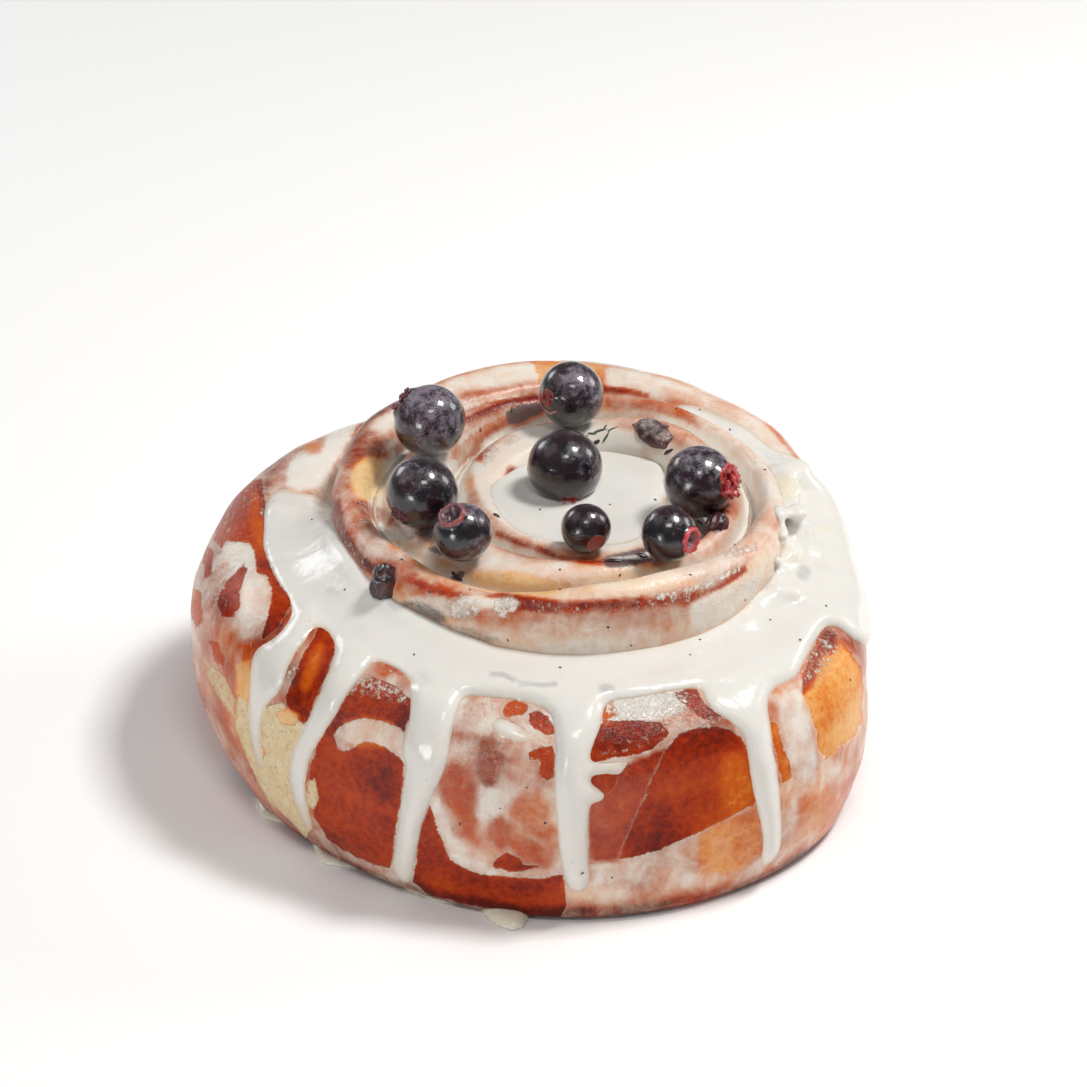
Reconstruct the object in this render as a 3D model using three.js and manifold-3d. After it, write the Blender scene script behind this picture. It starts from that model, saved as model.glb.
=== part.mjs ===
// A glazed cinnamon roll: one long strip of yeast dough, coiled up with a thin layer of
// cinnamon filling between its turns, and dark berries lying on its top.
// Millimetres, +Z up. The roll stands on its flat underside at Z = 0, and the origin is
// under the middle of the whole. -Y is the front, where the puffed outer turn is lowest.

import * as THREE from "three";
import { mergeVertices } from "three/addons/utils/BufferGeometryUtils.js";
import Module from "manifold-3d";

const wasm = await Module();
wasm.setup();

// ---------------------------------------------------------------- driving dimensions
const COIL_AXIS = [8.0, 4.0]; // where the coil's axis stands before the roll is centred
const FILLING = 1.0; // thickness of the filling between two turns
const GAP = 0.3; // room left between the filling and the dough on each side
const TABLE_START = 90; // unrolled angle of the first station below, in degrees
const TAIL = 100; // unrolled angle of the strip's outer end
const TAIL_ROUNDING = 1.6; // how far the tail's end is rounded off, in degrees
const HEART = 1750; // unrolled angle of its inner end
const FOLD = 1390; // from here the last turn closes up over the coil's axis
const FOLD_RUN = 10; // degrees that the closing takes
const STATION = 45; // degrees between the stations below
const STEP = 10; // degrees between two cross-sections of the strip
const HEART_PLUG_R = 1.8; // the dough pressed together at the very middle
const EDGE_R = 0.6; // inner bottom edge of the strip
const FOOT_R = 2.2; // outer bottom edge

// Outer radius of the strip about the coil's axis, station by station, one turn a row.
const RADIUS = [
  49.6, 58.2, 62.4, 57.0, 56.0, 53.2, 44.0, 43.8, // the puffed outer turn
  48.9, 44.2, 39.6, 39.6, 36.9, 35.3, 32.3, 32.4, // the rim of the raised middle
  33.7, 31.8, 31.9, 31.0, 28.6, 26.8, 26.0, 26.3,
  27.0, 23.6, 19.2, 18.2, 20.0, 20.8, 19.5, 18.0, // the heart of the coil
  16.0, 13.2, 11.2, 10.6, 11.0, 11.0,
];
// Height of the strip's crest at the same stations: the middle has risen 10 mm above the front.
const HEIGHT = [
  30.0, 38.5, 37.0, 36.0, 35.0, 34.5, 36.5, 44.0,
  46.3, 46.0, 45.5, 45.0, 45.0, 45.0, 45.0, 45.3,
  45.8, 45.8, 45.2, 44.8, 44.5, 44.5, 44.5, 45.0,
  45.2, 44.0, 43.0, 42.5, 43.0, 43.0, 42.0, 41.5,
  41.0, 40.8, 40.6, 40.4, 40.2, 40.0,
];
// How far the foot of the free outer wall lies inside its belly; 0 further in.
const FOOT_INSET = [4.0, 7.0, 10.0, 4.0, 1.2, 3.8, 4.5, 3.0, 1.5, 0];
// Radii of the rounded shoulders, outer and inner; the last value holds for the rest of the coil.
const OUTER_SHOULDER = [7, 12, 14, 12, 11, 11, 12, 8, 5, 4, 3, 2.6];
const INNER_SHOULDER = [6, 8, 9, 8.5, 7.5, 7, 6.5, 5, 3, 2.2];

// Berries: centre (before the roll is centred), radius, the way the old flower end points, and its form.
const BERRIES = [
  { name: "berry_back", at: [6.55, 26.09, 50.82], r: 5.34, end: [-0.74, -0.62, 0.2], form: "scar" },
  { name: "berry_left_high", at: [-16.13, 15.27, 51.72], r: 5.82, end: [-0.8, 0.1, 0.6], form: "stub" },
  { name: "berry_left_mid", at: [-16.8, -8.17, 50.97], r: 5.69, end: [-0.6, -0.7, -0.35], form: "scar" },
  { name: "berry_left_low", at: [-10.42, -18.34, 49.62], r: 4.57, end: [-0.36, -0.35, 0.87], form: "ring" },
  { name: "berry_heart", at: [5.43, 7.72, 47.17], r: 6.02, end: [0.1, -0.75, -0.65], form: "scar" },
  { name: "berry_front_small", at: [8.5, -12.85, 47.22], r: 3.88, end: [0.28, -0.95, 0.1], form: "scar" },
  { name: "berry_right_small", at: [21.1, -17.92, 49.07], r: 4.35, end: [0.81, -0.58, 0.03], form: "ring" },
  { name: "berry_right", at: [26.38, -0.99, 49.12], r: 5.71, end: [0.86, -0.45, 0.24], form: "stub" },
];
// Crushed berries pressed into the dough: centre, half sizes, turn about Z in degrees.
const CRUSHED = [
  { name: "crushed_berry_back", at: [20.1, 21.9, 44.5], half: [4.4, 2.5, 2.5], turn: -38 },
  { name: "crushed_berry_left", at: [-22.4, -21.6, 42.6], half: [2.5, 1.9, 3.2], turn: 40 },
  { name: "crushed_berry_right", at: [28.9, -6.4, 44.2], half: [2.3, 1.7, 1.9], turn: 60 },
];

// ---------------------------------------------------------------- looks
const crust = new THREE.MeshStandardMaterial({ color: 0xb5622b, roughness: 0.42, metalness: 0 });
const cinnamon = new THREE.MeshStandardMaterial({ color: 0x45190f, roughness: 0.6, metalness: 0 });
const berrySkin = new THREE.MeshStandardMaterial({ color: 0x17101d, roughness: 0.25, metalness: 0 });

// ---------------------------------------------------------------- the strip's sizes at any angle
const clamp = (x, a, b) => Math.min(b, Math.max(a, x));
const rad = THREE.MathUtils.degToRad;

// A smooth curve through the stations of a table; its last value holds past its end.
function along(table, phi) {
  const t = Math.max(0, (phi - TABLE_START) / STATION);
  const i = Math.floor(t);
  const f = t - i;
  const p = (j) => table[clamp(j, 0, table.length - 1)];
  const [a, b, c, d] = [p(i - 1), p(i), p(i + 1), p(i + 2)];
  return 0.5 * (2 * b + (c - a) * f + (2 * a - 5 * b + 4 * c - d) * f * f + (3 * b - a - 3 * c + d) * f ** 3);
}

const outerRadius = (phi) => along(RADIUS, phi);

// The strip's inner face: the next turn's outer face, the filling and its room, closing up at the heart.
function innerRadius(phi) {
  const open = outerRadius(Math.min(phi + 360, HEART)) + FILLING + 2 * GAP;
  const t = THREE.MathUtils.smoothstep(phi, FOLD, FOLD + FOLD_RUN);
  return open * (1 - t) + 1.0 * t;
}

// One cross-section of the strip, as [radius, height] pairs running once round it.
function section(phi) {
  const ri = innerRadius(phi);
  const ro = Math.max(outerRadius(phi), ri + 1.2);
  const w = ro - ri;
  const h = along(HEIGHT, phi);
  const shoulderOut = Math.min(along(OUTER_SHOULDER, phi), w * 0.62, h * 0.45);
  const shoulderIn = Math.max(0.3, Math.min(along(INNER_SHOULDER, phi), w - shoulderOut - 0.2, h * 0.3));
  const foot = Math.min(FOOT_R, w * 0.35);
  const belly = 0.42 * h;
  const inset = along(FOOT_INSET, phi) * clamp(w / 9, 0, 1);
  const points = [];
  const arc = (cr, cz, r, from, to, n) => {
    for (let i = 0; i <= n; i++) {
      const a = rad(from + ((to - from) * i) / n);
      points.push([cr + r * Math.cos(a), cz + r * Math.sin(a)]);
    }
  };
  arc(ri + EDGE_R, EDGE_R, EDGE_R, 180, 270, 1);
  arc(ro - foot, foot, foot, 270, 360, 2);
  points.push([ro, (foot + belly) / 2], [ro, belly]);
  arc(ro - shoulderOut, h - shoulderOut, shoulderOut, 0, 90, 5);
  arc(ri + shoulderIn, h - shoulderIn, shoulderIn, 90, 180, 3);
  return points.map(([r, z]) => {
    const share = clamp((r - ri) / w, 0, 1) ** 1.5;
    const in_ = z < belly ? inset * (1 - z / belly) ** 2 : 0.06 * inset * ((z - belly) / (h - belly)) ** 2;
    return [r - in_ * share, Math.max(0, z)];
  });
}

// ---------------------------------------------------------------- making solids
// A closed skin through a row of cross-sections, each a ring of [radius, height] at its own angle.
function loft(angles, ringAt) {
  const rings = angles.map(ringAt);
  const m = rings[0].length;
  const positions = [];
  angles.forEach((phi, i) => {
    const c = Math.cos(rad(phi));
    const s = Math.sin(rad(phi));
    for (const [r, z] of rings[i]) positions.push(COIL_AXIS[0] + r * c, COIL_AXIS[1] + r * s, z);
  });
  const index = [];
  for (let i = 0; i + 1 < rings.length; i++)
    for (let j = 0; j < m; j++) {
      const [a, b] = [i * m + j, i * m + ((j + 1) % m)];
      index.push(a, b, b + m, a, b + m, a + m);
    }
  for (const [i, turned] of [[0, false], [rings.length - 1, true]]) {
    const hub = positions.length / 3;
    const [r, z] = [0, 1].map((k) => rings[i].reduce((sum, point) => sum + point[k], 0) / m);
    positions.push(COIL_AXIS[0] + r * Math.cos(rad(angles[i])), COIL_AXIS[1] + r * Math.sin(rad(angles[i])), z);
    for (let j = 0; j < m; j++) {
      const [a, b] = [i * m + j, i * m + ((j + 1) % m)];
      index.push(hub, turned ? a : b, turned ? b : a);
    }
  }
  return new THREE.BufferGeometry()
    .setAttribute("position", new THREE.Float32BufferAttribute(positions, 3))
    .setIndex(index);
}

// A geometry as a solid, and a solid as a geometry.
function solid(geometry) {
  const g = geometry.clone();
  g.deleteAttribute("normal");
  g.deleteAttribute("uv");
  const merged = mergeVertices(g, 1e-4);
  const made = new wasm.Manifold(
    new wasm.Mesh({
      numProp: 3,
      vertProperties: new Float32Array(merged.attributes.position.array),
      triVerts: new Uint32Array(merged.index.array),
    }),
  );
  if (made.volume() >= 0) return made;
  const flipped = new Uint32Array(merged.index.array);
  for (let i = 0; i < flipped.length; i += 3) [flipped[i + 1], flipped[i + 2]] = [flipped[i + 2], flipped[i + 1]];
  return new wasm.Manifold(
    new wasm.Mesh({ numProp: 3, vertProperties: new Float32Array(merged.attributes.position.array), triVerts: flipped }),
  );
}
function geometryOf(manifold) {
  const mesh = manifold.getMesh();
  return new THREE.BufferGeometry()
    .setAttribute("position", new THREE.BufferAttribute(new Float32Array(mesh.vertProperties), 3))
    .setIndex(new THREE.BufferAttribute(new Uint32Array(mesh.triVerts), 1));
}

const range = (from, to, step) => Array.from({ length: Math.floor((to - from) / step) + 1 }, (_, i) => from + i * step);

// ---------------------------------------------------------------- dough
const plugTop = along(HEIGHT, HEART) - 0.5;
const plug = new THREE.CylinderGeometry(HEART_PLUG_R, HEART_PLUG_R, plugTop, 12)
  .rotateX(Math.PI / 2)
  .translate(COIL_AXIS[0], COIL_AXIS[1], plugTop / 2);

// The tail's end is rounded off: its last sections grow thin towards its own middle.
function stripSection(phi) {
  if (phi >= TAIL) return section(phi);
  const ring = section(TAIL);
  const thin = Math.sqrt(Math.max(0, 1 - ((TAIL - phi) / TAIL_ROUNDING) ** 2)) * 0.8 + 0.2;
  const [rc, zc] = [0, 1].map((k) => ring.reduce((sum, point) => sum + point[k], 0) / ring.length);
  return ring.map(([r, z]) => [rc + (r - rc) * thin, zc + (z - zc) * (0.93 + 0.07 * thin)]);
}
const tailAngles = [TAIL - TAIL_ROUNDING, TAIL - 0.8 * TAIL_ROUNDING, TAIL - 0.4 * TAIL_ROUNDING];
let dough = solid(loft([...tailAngles, ...range(TAIL, HEART, STEP)], stripSection)).add(solid(plug));

// ---------------------------------------------------------------- filling: a coiled sheet, low enough to show in the grooves
function fillingSection(phi) {
  const r0 = outerRadius(phi + 360) + GAP;
  const groove = Math.min(
    along(HEIGHT, phi) - along(INNER_SHOULDER, phi),
    along(HEIGHT, phi + 360) - along(OUTER_SHOULDER, phi + 360),
  );
  const top = groove - 0.2;
  return [[r0, GAP], [r0 + FILLING, GAP], [r0 + FILLING, top], [r0, top]];
}
let filling = solid(loft(range(TAIL, FOLD, STEP), fillingSection));

// ---------------------------------------------------------------- crushed berries, and the hollows they lie in
function lump(half, turn, at, grow = 0) {
  const g = new THREE.IcosahedronGeometry(1, 1);
  const p = g.getAttribute("position");
  for (let i = 0; i < p.count; i++) {
    const [x, y, z] = [p.getX(i), p.getY(i), p.getZ(i)];
    const k = 1 + 0.09 * Math.sin(3.1 * x + 1.3) * Math.cos(2.7 * y - 0.6) + 0.05 * Math.sin(4.3 * z);
    p.setXYZ(i, x * k * (half[0] + grow), y * k * (half[1] + grow), z * k * (half[2] + grow));
  }
  return g.rotateZ(rad(turn)).translate(...at);
}
const crushed = CRUSHED.map(({ name, at, half, turn }) => {
  const hollow = solid(lump(half, turn, at, 0.45));
  dough = dough.subtract(hollow);
  filling = filling.subtract(hollow);
  return [name, geometryOf(solid(lump(half, turn, at)))];
});

// Only the largest piece of each is kept, should a hollow cut off a crumb.
const whole = (m) => m.decompose().sort((a, b) => b.volume() - a.volume())[0];

// ---------------------------------------------------------------- berries: a turned profile, the flower end up
const ENDS = {
  scar: [[0.34, 0.93], [0.26, 0.93], [0.0, 0.9]],
  ring: [[0.36, 0.93], [0.36, 1.1], [0.25, 1.1], [0.2, 0.92], [0.0, 0.88]],
  stub: [[0.4, 0.91], [0.4, 1.14], [0.28, 1.26], [0.16, 1.14], [0.0, 1.1]],
};
function berry({ at, r, end, form }) {
  const profile = [];
  const n = 8;
  const from = -Math.PI / 2;
  const to = Math.acos(ENDS[form][0][0]);
  for (let i = 0; i < n; i++) {
    const a = from + ((to - from) * i) / n;
    profile.push(new THREE.Vector2(i ? r * Math.cos(a) : 0, r * Math.sin(a)));
  }
  for (const [x, y] of ENDS[form]) profile.push(new THREE.Vector2(x * r, y * r));
  const g = new THREE.LatheGeometry(profile, 14);
  const q = new THREE.Quaternion().setFromUnitVectors(new THREE.Vector3(0, 1, 0), new THREE.Vector3(...end).normalize());
  return g.applyQuaternion(q).translate(...at);
}

// ---------------------------------------------------------------- the roll
const roll = new THREE.Group();
const put = (name, geometry, material) => {
  const mesh = new THREE.Mesh(geometry, material);
  mesh.name = name;
  roll.add(mesh);
};
put("dough", geometryOf(whole(dough)), crust);
put("filling", geometryOf(whole(filling)), cinnamon);
for (const b of BERRIES) put(b.name, geometryOf(solid(berry(b))), berrySkin);
for (const [name, geometry] of crushed) put(name, geometry, berrySkin);

const middle = new THREE.Box3().setFromObject(roll).getCenter(new THREE.Vector3());
roll.position.set(-middle.x, -middle.y, 0);

export default roll;
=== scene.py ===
"""The looks of a glazed cinnamon roll with dark berries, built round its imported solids.

Lengths in the modelling code are millimetres in the row frame; meshes are scaled to metres
when they are made. The dough and the glaze are distance fields on one grid, skinned by
surface nets, so the glaze flows over the dough it really lies on.
"""

import math

import bmesh
import bpy
import numpy as np
from mathutils import Matrix, Quaternion, Vector


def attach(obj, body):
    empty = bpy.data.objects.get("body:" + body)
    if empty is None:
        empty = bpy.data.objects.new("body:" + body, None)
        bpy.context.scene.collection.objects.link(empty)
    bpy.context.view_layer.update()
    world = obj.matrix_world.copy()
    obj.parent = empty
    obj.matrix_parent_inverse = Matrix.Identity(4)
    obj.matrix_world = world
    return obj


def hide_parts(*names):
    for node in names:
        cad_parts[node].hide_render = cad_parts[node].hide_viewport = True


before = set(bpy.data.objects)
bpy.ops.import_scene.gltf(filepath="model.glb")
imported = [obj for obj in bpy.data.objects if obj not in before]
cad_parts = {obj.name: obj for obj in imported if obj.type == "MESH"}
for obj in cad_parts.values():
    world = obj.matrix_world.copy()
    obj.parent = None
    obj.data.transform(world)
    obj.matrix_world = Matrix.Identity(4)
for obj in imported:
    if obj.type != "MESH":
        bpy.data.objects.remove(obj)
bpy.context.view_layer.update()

MM = 0.001

# ------------------------------------------------------------------ the coil, as in the solids
AXIS = (8.7306, 2.7053)  # coil axis in the row frame
TABLE_START, STATION, TAIL, HEART, FOLD = 90.0, 45.0, 100.0, 1750.0, 1390.0
SEAM = 1.6  # from one turn's outer face to the next turn's inner face
RADIUS = np.array([
    49.6, 58.2, 62.4, 57.0, 56.0, 53.2, 44.0, 43.8, 48.9, 44.2, 39.6, 39.6, 36.9, 35.3, 32.3, 32.4,
    33.7, 31.8, 31.9, 31.0, 28.6, 26.8, 26.0, 26.3, 27.0, 23.6, 19.2, 18.2, 20.0, 20.8, 19.5, 18.0,
    16.0, 13.2, 11.2, 10.6, 11.0, 11.0])
HEIGHT = np.array([
    30.0, 38.5, 37.0, 36.0, 35.0, 34.5, 36.5, 44.0, 46.3, 46.0, 45.5, 45.0, 45.0, 45.0, 45.0, 45.3,
    45.8, 45.8, 45.2, 44.8, 44.5, 44.5, 44.5, 45.0, 45.2, 44.0, 43.0, 42.5, 43.0, 43.0, 42.0, 41.5,
    41.0, 40.8, 40.6, 40.4, 40.2, 40.0])
FOOT_INSET = np.array([4.0, 7.0, 10.0, 4.0, 1.2, 3.8, 4.5, 3.0, 1.5, 0.0])
OUTER_SHOULDER = np.array([7, 12, 14, 12, 11, 11, 12, 8, 5, 4, 3, 2.6])
INNER_SHOULDER = np.array([6, 8, 9, 8.5, 7.5, 7, 6.5, 5, 3, 2.2])


def along(table, phi):
    """Smooth curve through a table's stations; the last value holds past its end."""
    t = np.maximum(0.0, (np.asarray(phi, float) - TABLE_START) / STATION)
    i = np.floor(t).astype(int)
    f = t - i
    a, b, c, d = (table[np.clip(i + k, 0, len(table) - 1)] for k in (-1, 0, 1, 2))
    return 0.5 * (2 * b + (c - a) * f + (2 * a - 5 * b + 4 * c - d) * f**2 + (3 * b - a - 3 * c + d) * f**3)


def outer_radius(phi):
    return along(RADIUS, phi)


def smooth(x, lo, hi):
    t = np.clip((x - lo) / (hi - lo), 0.0, 1.0)
    return t * t * (3 - 2 * t)


def smin(a, b, k):
    h = np.maximum(k - np.abs(a - b), 0.0) / k
    return np.minimum(a, b) - h * h * k * 0.25


def smax(a, b, k):
    return -smin(-a, -b, k)


# ------------------------------------------------------------------ the photograph's camera
CAM_POS = np.array([0.7307, -564.2112, 345.0])
CAM_AIM = np.array([2.7576, 6.4235, 33.3684])
FOCAL = 4062.5  # in pixels of a 1087-pixel frame
_f = CAM_AIM - CAM_POS
_f /= np.linalg.norm(_f)
_r = np.cross(_f, [0, 0, 1.0])
_r /= np.linalg.norm(_r)
_u = np.cross(_r, _f)


def to_px(p):
    """Where a point shows in the photograph, in its 1087-pixel frame."""
    q = np.asarray(p, float) - CAM_POS
    w = q @ _f
    return np.stack([543.5 + FOCAL * (q @ _r) / w, 543.5 - FOCAL * (q @ _u) / w], -1)


def ray(px):
    d = _f + ((px[0] - 543.5) / FOCAL) * _r - ((px[1] - 543.5) / FOCAL) * _u
    return d / np.linalg.norm(d)


# ------------------------------------------------------------------ the grid
H = 0.65
ORG = np.array([-59.0, -59.0, -1.6])
N = np.array([int(118 / H) + 1, int(118 / H) + 1, int(51.5 / H) + 1])
GX, GY, GZ = (ORG[k] + H * np.arange(N[k]) for k in range(3))


def noise3(wave, seed):
    """Smooth noise in about -1..1 over the grid, its features about `wave` mm apart."""
    rng = np.random.RandomState(seed)
    waves = (wave,) * 3 if np.isscalar(wave) else wave
    mats, shape = [], []
    for k in range(3):
        m = int(np.ceil(N[k] * H / waves[k])) + 4
        u = np.arange(N[k]) * H / waves[k] + 1
        i = np.floor(u).astype(int)
        f = u - i
        w = np.zeros((N[k], m), np.float32)
        for j, b in enumerate(((1 - f) ** 3 / 6, (3 * f**3 - 6 * f**2 + 4) / 6, (-3 * f**3 + 3 * f**2 + 3 * f + 1) / 6, f**3 / 6)):
            w[np.arange(N[k]), i - 1 + j] = b
        mats.append(w)
        shape.append(m)
    g = rng.uniform(-1, 1, shape).astype(np.float32)
    g = np.tensordot(mats[0], g, (1, 0))
    g = np.tensordot(g, mats[1], (1, 1)).transpose(0, 2, 1)
    g = np.tensordot(g, mats[2], (2, 1))
    return np.clip(g * 2.4, -1.2, 1.2)


def sample(field, p):
    """The grid's value at points p, in mm."""
    u = (p - ORG) / H
    u = np.clip(u, 0, N - 1.001)
    i = np.floor(u).astype(int)
    f = (u - i).astype(np.float32)
    out = np.zeros(len(p), np.float32)
    for dx in (0, 1):
        for dy in (0, 1):
            for dz in (0, 1):
                w = (f[:, 0] if dx else 1 - f[:, 0]) * (f[:, 1] if dy else 1 - f[:, 1]) * (f[:, 2] if dz else 1 - f[:, 2])
                out += w * field[i[:, 0] + dx, i[:, 1] + dy, i[:, 2] + dz]
    return out


def gradient(field, p, e=0.4):
    g = np.stack([sample(field, p + d) - sample(field, p - d) for d in np.eye(3) * e], -1) / (2 * e)
    return g


def blur(field, n):
    """Box blur over 2n+1 cells each way."""
    out = field
    for ax in range(3):
        c = np.cumsum(np.pad(out, [(n + 1, n) if k == ax else (0, 0) for k in range(3)], mode="edge"), axis=ax, dtype=np.float64)
        hi = np.take(c, range(2 * n + 1, c.shape[ax]), axis=ax)
        lo = np.take(c, range(0, c.shape[ax] - 2 * n - 1), axis=ax)
        out = ((hi - lo) / (2 * n + 1)).astype(np.float32)
    return out


# ------------------------------------------------------------------ dough
X2, Y2 = np.meshgrid(GX, GY, indexing="ij")
R2 = np.hypot(X2 - AXIS[0], Y2 - AXIS[1])
TH2 = np.degrees(np.arctan2(Y2 - AXIS[1], X2 - AXIS[0])) % 360
Z3 = GZ[None, None, :]
rng = np.random.RandomState(7)


def turn_params(phi):
    ri = outer_radius(np.minimum(phi + 360, HEART)) + SEAM
    t = smooth(phi, FOLD, FOLD + 10)
    ri = ri * (1 - t) - 6.0 * t
    ro = np.maximum(outer_radius(phi), ri + 1.2)
    return ri, ro, along(HEIGHT, phi)


def dough_field():
    D = np.full(tuple(N), 50.0, np.float32)
    for k in range(5):
        phi = TH2 + 360 * k
        ri, ro, h = turn_params(phi)
        w = ro - ri
        s = np.clip((R2 - ri) / w, 0, 1)
        so = np.minimum(np.minimum(along(OUTER_SHOULDER, phi), w * 0.62), h * 0.45)
        si = np.maximum(0.3, np.minimum(np.minimum(along(INNER_SHOULDER, phi), w - so - 0.2), h * 0.3))
        if k >= 1:  # the middle's turns are domed, each a little differently
            dome = (1.5 + 0.5 * np.sin(np.radians(phi * 1.7 + 40))) * smooth(phi, 440, 560)
            h = h + 0.5 * dome - dome * (2 * s - 0.95) ** 2
            h = h + smooth(phi, 440, 560) * (0.45 * np.sin(np.radians(phi * 2.3)) + 0.3 * np.sin(np.radians(phi * 5.1 + 70)))
        # the strip's inner end sinks under the glaze, inside the last ring's rim
        h = h - 2.6 * smooth(phi, 1480, 1560) - 3.6 * smooth(phi, FOLD, FOLD + 14) * smooth(ro - R2, 3.4, 7.0)
        inset = along(FOOT_INSET, phi) * np.clip(w / 9, 0, 1)
        share = s**1.5
        belly = 0.42 * h
        r = R2[:, :, None]
        if np.any(inset > 0.01):
            down = np.where(
                Z3 < belly[:, :, None],
                np.clip(1 - Z3 / belly[:, :, None], 0, 1.2) ** 2,
                0.06 * (np.clip((Z3 - belly[:, :, None]) / (h - belly)[:, :, None], 0, 1.2)) ** 2,
            )
            r = r + (inset * share)[:, :, None] * down
        z = Z3
        ri_, ro_, h_, so_, si_ = (v[:, :, None] for v in (ri, ro, h, so, si))
        d = np.maximum(np.maximum(r - ro_, ri_ - r), np.maximum(z - h_, -z))
        qo = np.hypot(np.maximum(r - (ro_ - so_), 0), np.maximum(z - (h_ - so_), 0)) - so_
        d = np.where((r > ro_ - so_) & (z > h_ - so_), qo, d)
        qi = np.hypot(np.maximum(ri_ + si_ - r, 0), np.maximum(z - (h_ - si_), 0)) - si_
        d = np.where((r < ri_ + si_) & (z > h_ - si_), qi, d)
        foot = 2.2
        qf = np.hypot(np.maximum(r - (ro_ - foot), 0), np.maximum(foot - z, 0)) - foot
        d = np.where((r > ro_ - foot) & (z < foot), np.maximum(qf, -z), d)
        ends = np.maximum((TAIL - phi) * np.pi / 180 * R2, (phi - HEART) * np.pi / 180 * R2)
        d = smax(d, np.broadcast_to(ends[:, :, None], d.shape), 2.0) if k in (0, 4) else d
        D = smin(D, d.astype(np.float32), 0.9)
        # the seam below the groove between this turn and the next is closed
        if k < 4:
            ok = (phi >= TAIL + 2) & (phi + 360 <= HEART)
            hn = along(HEIGHT, phi + 360)
            gz = np.minimum(h - si, hn - np.minimum(along(OUTER_SHOULDER, phi + 360), 4)) - 0.4
            mid = ri - SEAM / 2
            d = np.maximum(np.abs(R2 - mid) - 3.0, np.where(ok, -9.0, 9.0))[:, :, None]
            d = np.maximum(d, np.maximum(Z3 - gz[:, :, None], 0.9 - Z3))
            D = np.minimum(D, d.astype(np.float32))
    lift = smooth(Z3, 0.8, 5.0)
    D -= lift * (0.75 * noise3(17, 1) + 0.30 * noise3(7.5, 2))
    return D


D = dough_field()
# fine dimples and wrinkles of the baked skin
WR = noise3((3.4, 3.4, 2.2), 3)
D -= 0.13 * smooth(Z3, 0.8, 4.0) * WR
# the hollow at the heart's end, left of the berry, and pores in the middle's wall
HOLES = [  # photo pixel, height it lies at, radii along x, y, z
    ((517, 484), 40.9, 1.3, 2.6, 2.0), ((597, 612), 43.6, 0.55, 0.8, 0.55), ((633, 615), 43.2, 0.75, 1.0, 0.7),
    ((729, 606), 40.6, 0.75, 1.0, 0.8), ((608, 645), 38.0, 0.4, 0.6, 0.4),
]


def at_height(px, z):
    d = ray(px)
    return CAM_POS + d * ((z - CAM_POS[2]) / d[2])


def ellipsoid(c, rad):
    q = np.sqrt(((GX[:, None, None] - c[0]) / rad[0]) ** 2 + ((GY[None, :, None] - c[1]) / rad[1]) ** 2 + ((Z3 - c[2]) / rad[2]) ** 2)
    return ((q - 1) * min(rad)).astype(np.float32)


for px, z, *radii in HOLES:
    D = smax(D, -ellipsoid(at_height(px, z), radii), 0.5)


def surface(px, field=None, lo=300.0, hi=900.0):
    """First point of the surface on a pixel's line of sight."""
    field = D if field is None else field
    d = ray(px)
    t = np.arange(520.0, 720.0, 0.2)
    p = CAM_POS + d * t[:, None]
    v = sample(field, p)
    inside = np.all((p > ORG) & (p < ORG + H * (N - 1)), axis=1)
    hit = np.nonzero((v < 0) & inside)[0]
    return p[hit[0]] if len(hit) else None


# ------------------------------------------------------------------ skins by surface nets
def nets(field, level=0.0, project=2):
    F = field - level
    s = F < 0
    a = F[:-1, :-1, :-1]
    corner = [(i, j, k) for i in (0, 1) for j in (0, 1) for k in (0, 1)]
    view = lambda arr, c: arr[c[0]:N[0] - 1 + c[0], c[1]:N[1] - 1 + c[1], c[2]:N[2] - 1 + c[2]]
    count = sum(view(s, c).astype(np.int8) for c in corner)
    active = (count > 0) & (count < 8)
    idx = np.argwhere(active)
    number = np.full(active.shape, -1, np.int64)
    number[active] = np.arange(len(idx))
    pos = np.zeros((len(idx), 3))
    cnt = np.zeros(len(idx))
    vals = {c: view(F, c)[active] for c in corner}
    for c0 in corner:
        for ax in range(3):
            if c0[ax]:
                continue
            c1 = tuple(1 if k == ax else c0[k] for k in range(3))
            v0, v1 = vals[c0], vals[c1]
            m = (v0 < 0) != (v1 < 0)
            t = np.where(m, v0 / np.where(m, v0 - v1, 1), 0)
            p = np.array(c0, float)[None] + np.eye(3)[ax][None] * t[:, None]
            pos[m] += p[m]
            cnt[m] += 1
    pos = ORG + H * (idx + pos / cnt[:, None])
    quads = []
    for ax in range(3):
        b, c = (ax + 1) % 3, (ax + 2) % 3
        sl0 = [slice(1, n - 1) for n in N]
        sl1 = list(sl0)
        sl0[ax] = slice(0, N[ax] - 1)
        sl1[ax] = slice(1, N[ax])
        s0, s1 = s[tuple(sl0)], s[tuple(sl1)]
        cross = np.argwhere(s0 != s1)
        inside = s0[tuple(cross.T)]
        base = cross.copy()
        for k in range(3):
            if k != ax:
                base[:, k] += 1
        eb, ec = np.eye(3, dtype=int)[b], np.eye(3, dtype=int)[c]
        q = [base - eb - ec, base - ec, base, base - eb]
        q = np.stack([number[tuple(v.T)] for v in q], 1)
        q[~inside] = q[~inside][:, ::-1]
        quads.append(q)
    quads = np.concatenate(quads)
    for _ in range(project):
        g = gradient(field, pos, 0.35)
        v = sample(field, pos) - level
        step = v / np.maximum((g**2).sum(1), 0.05)
        pos = pos - np.clip(step, -0.25, 0.25)[:, None] * g
    return pos, quads


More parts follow.
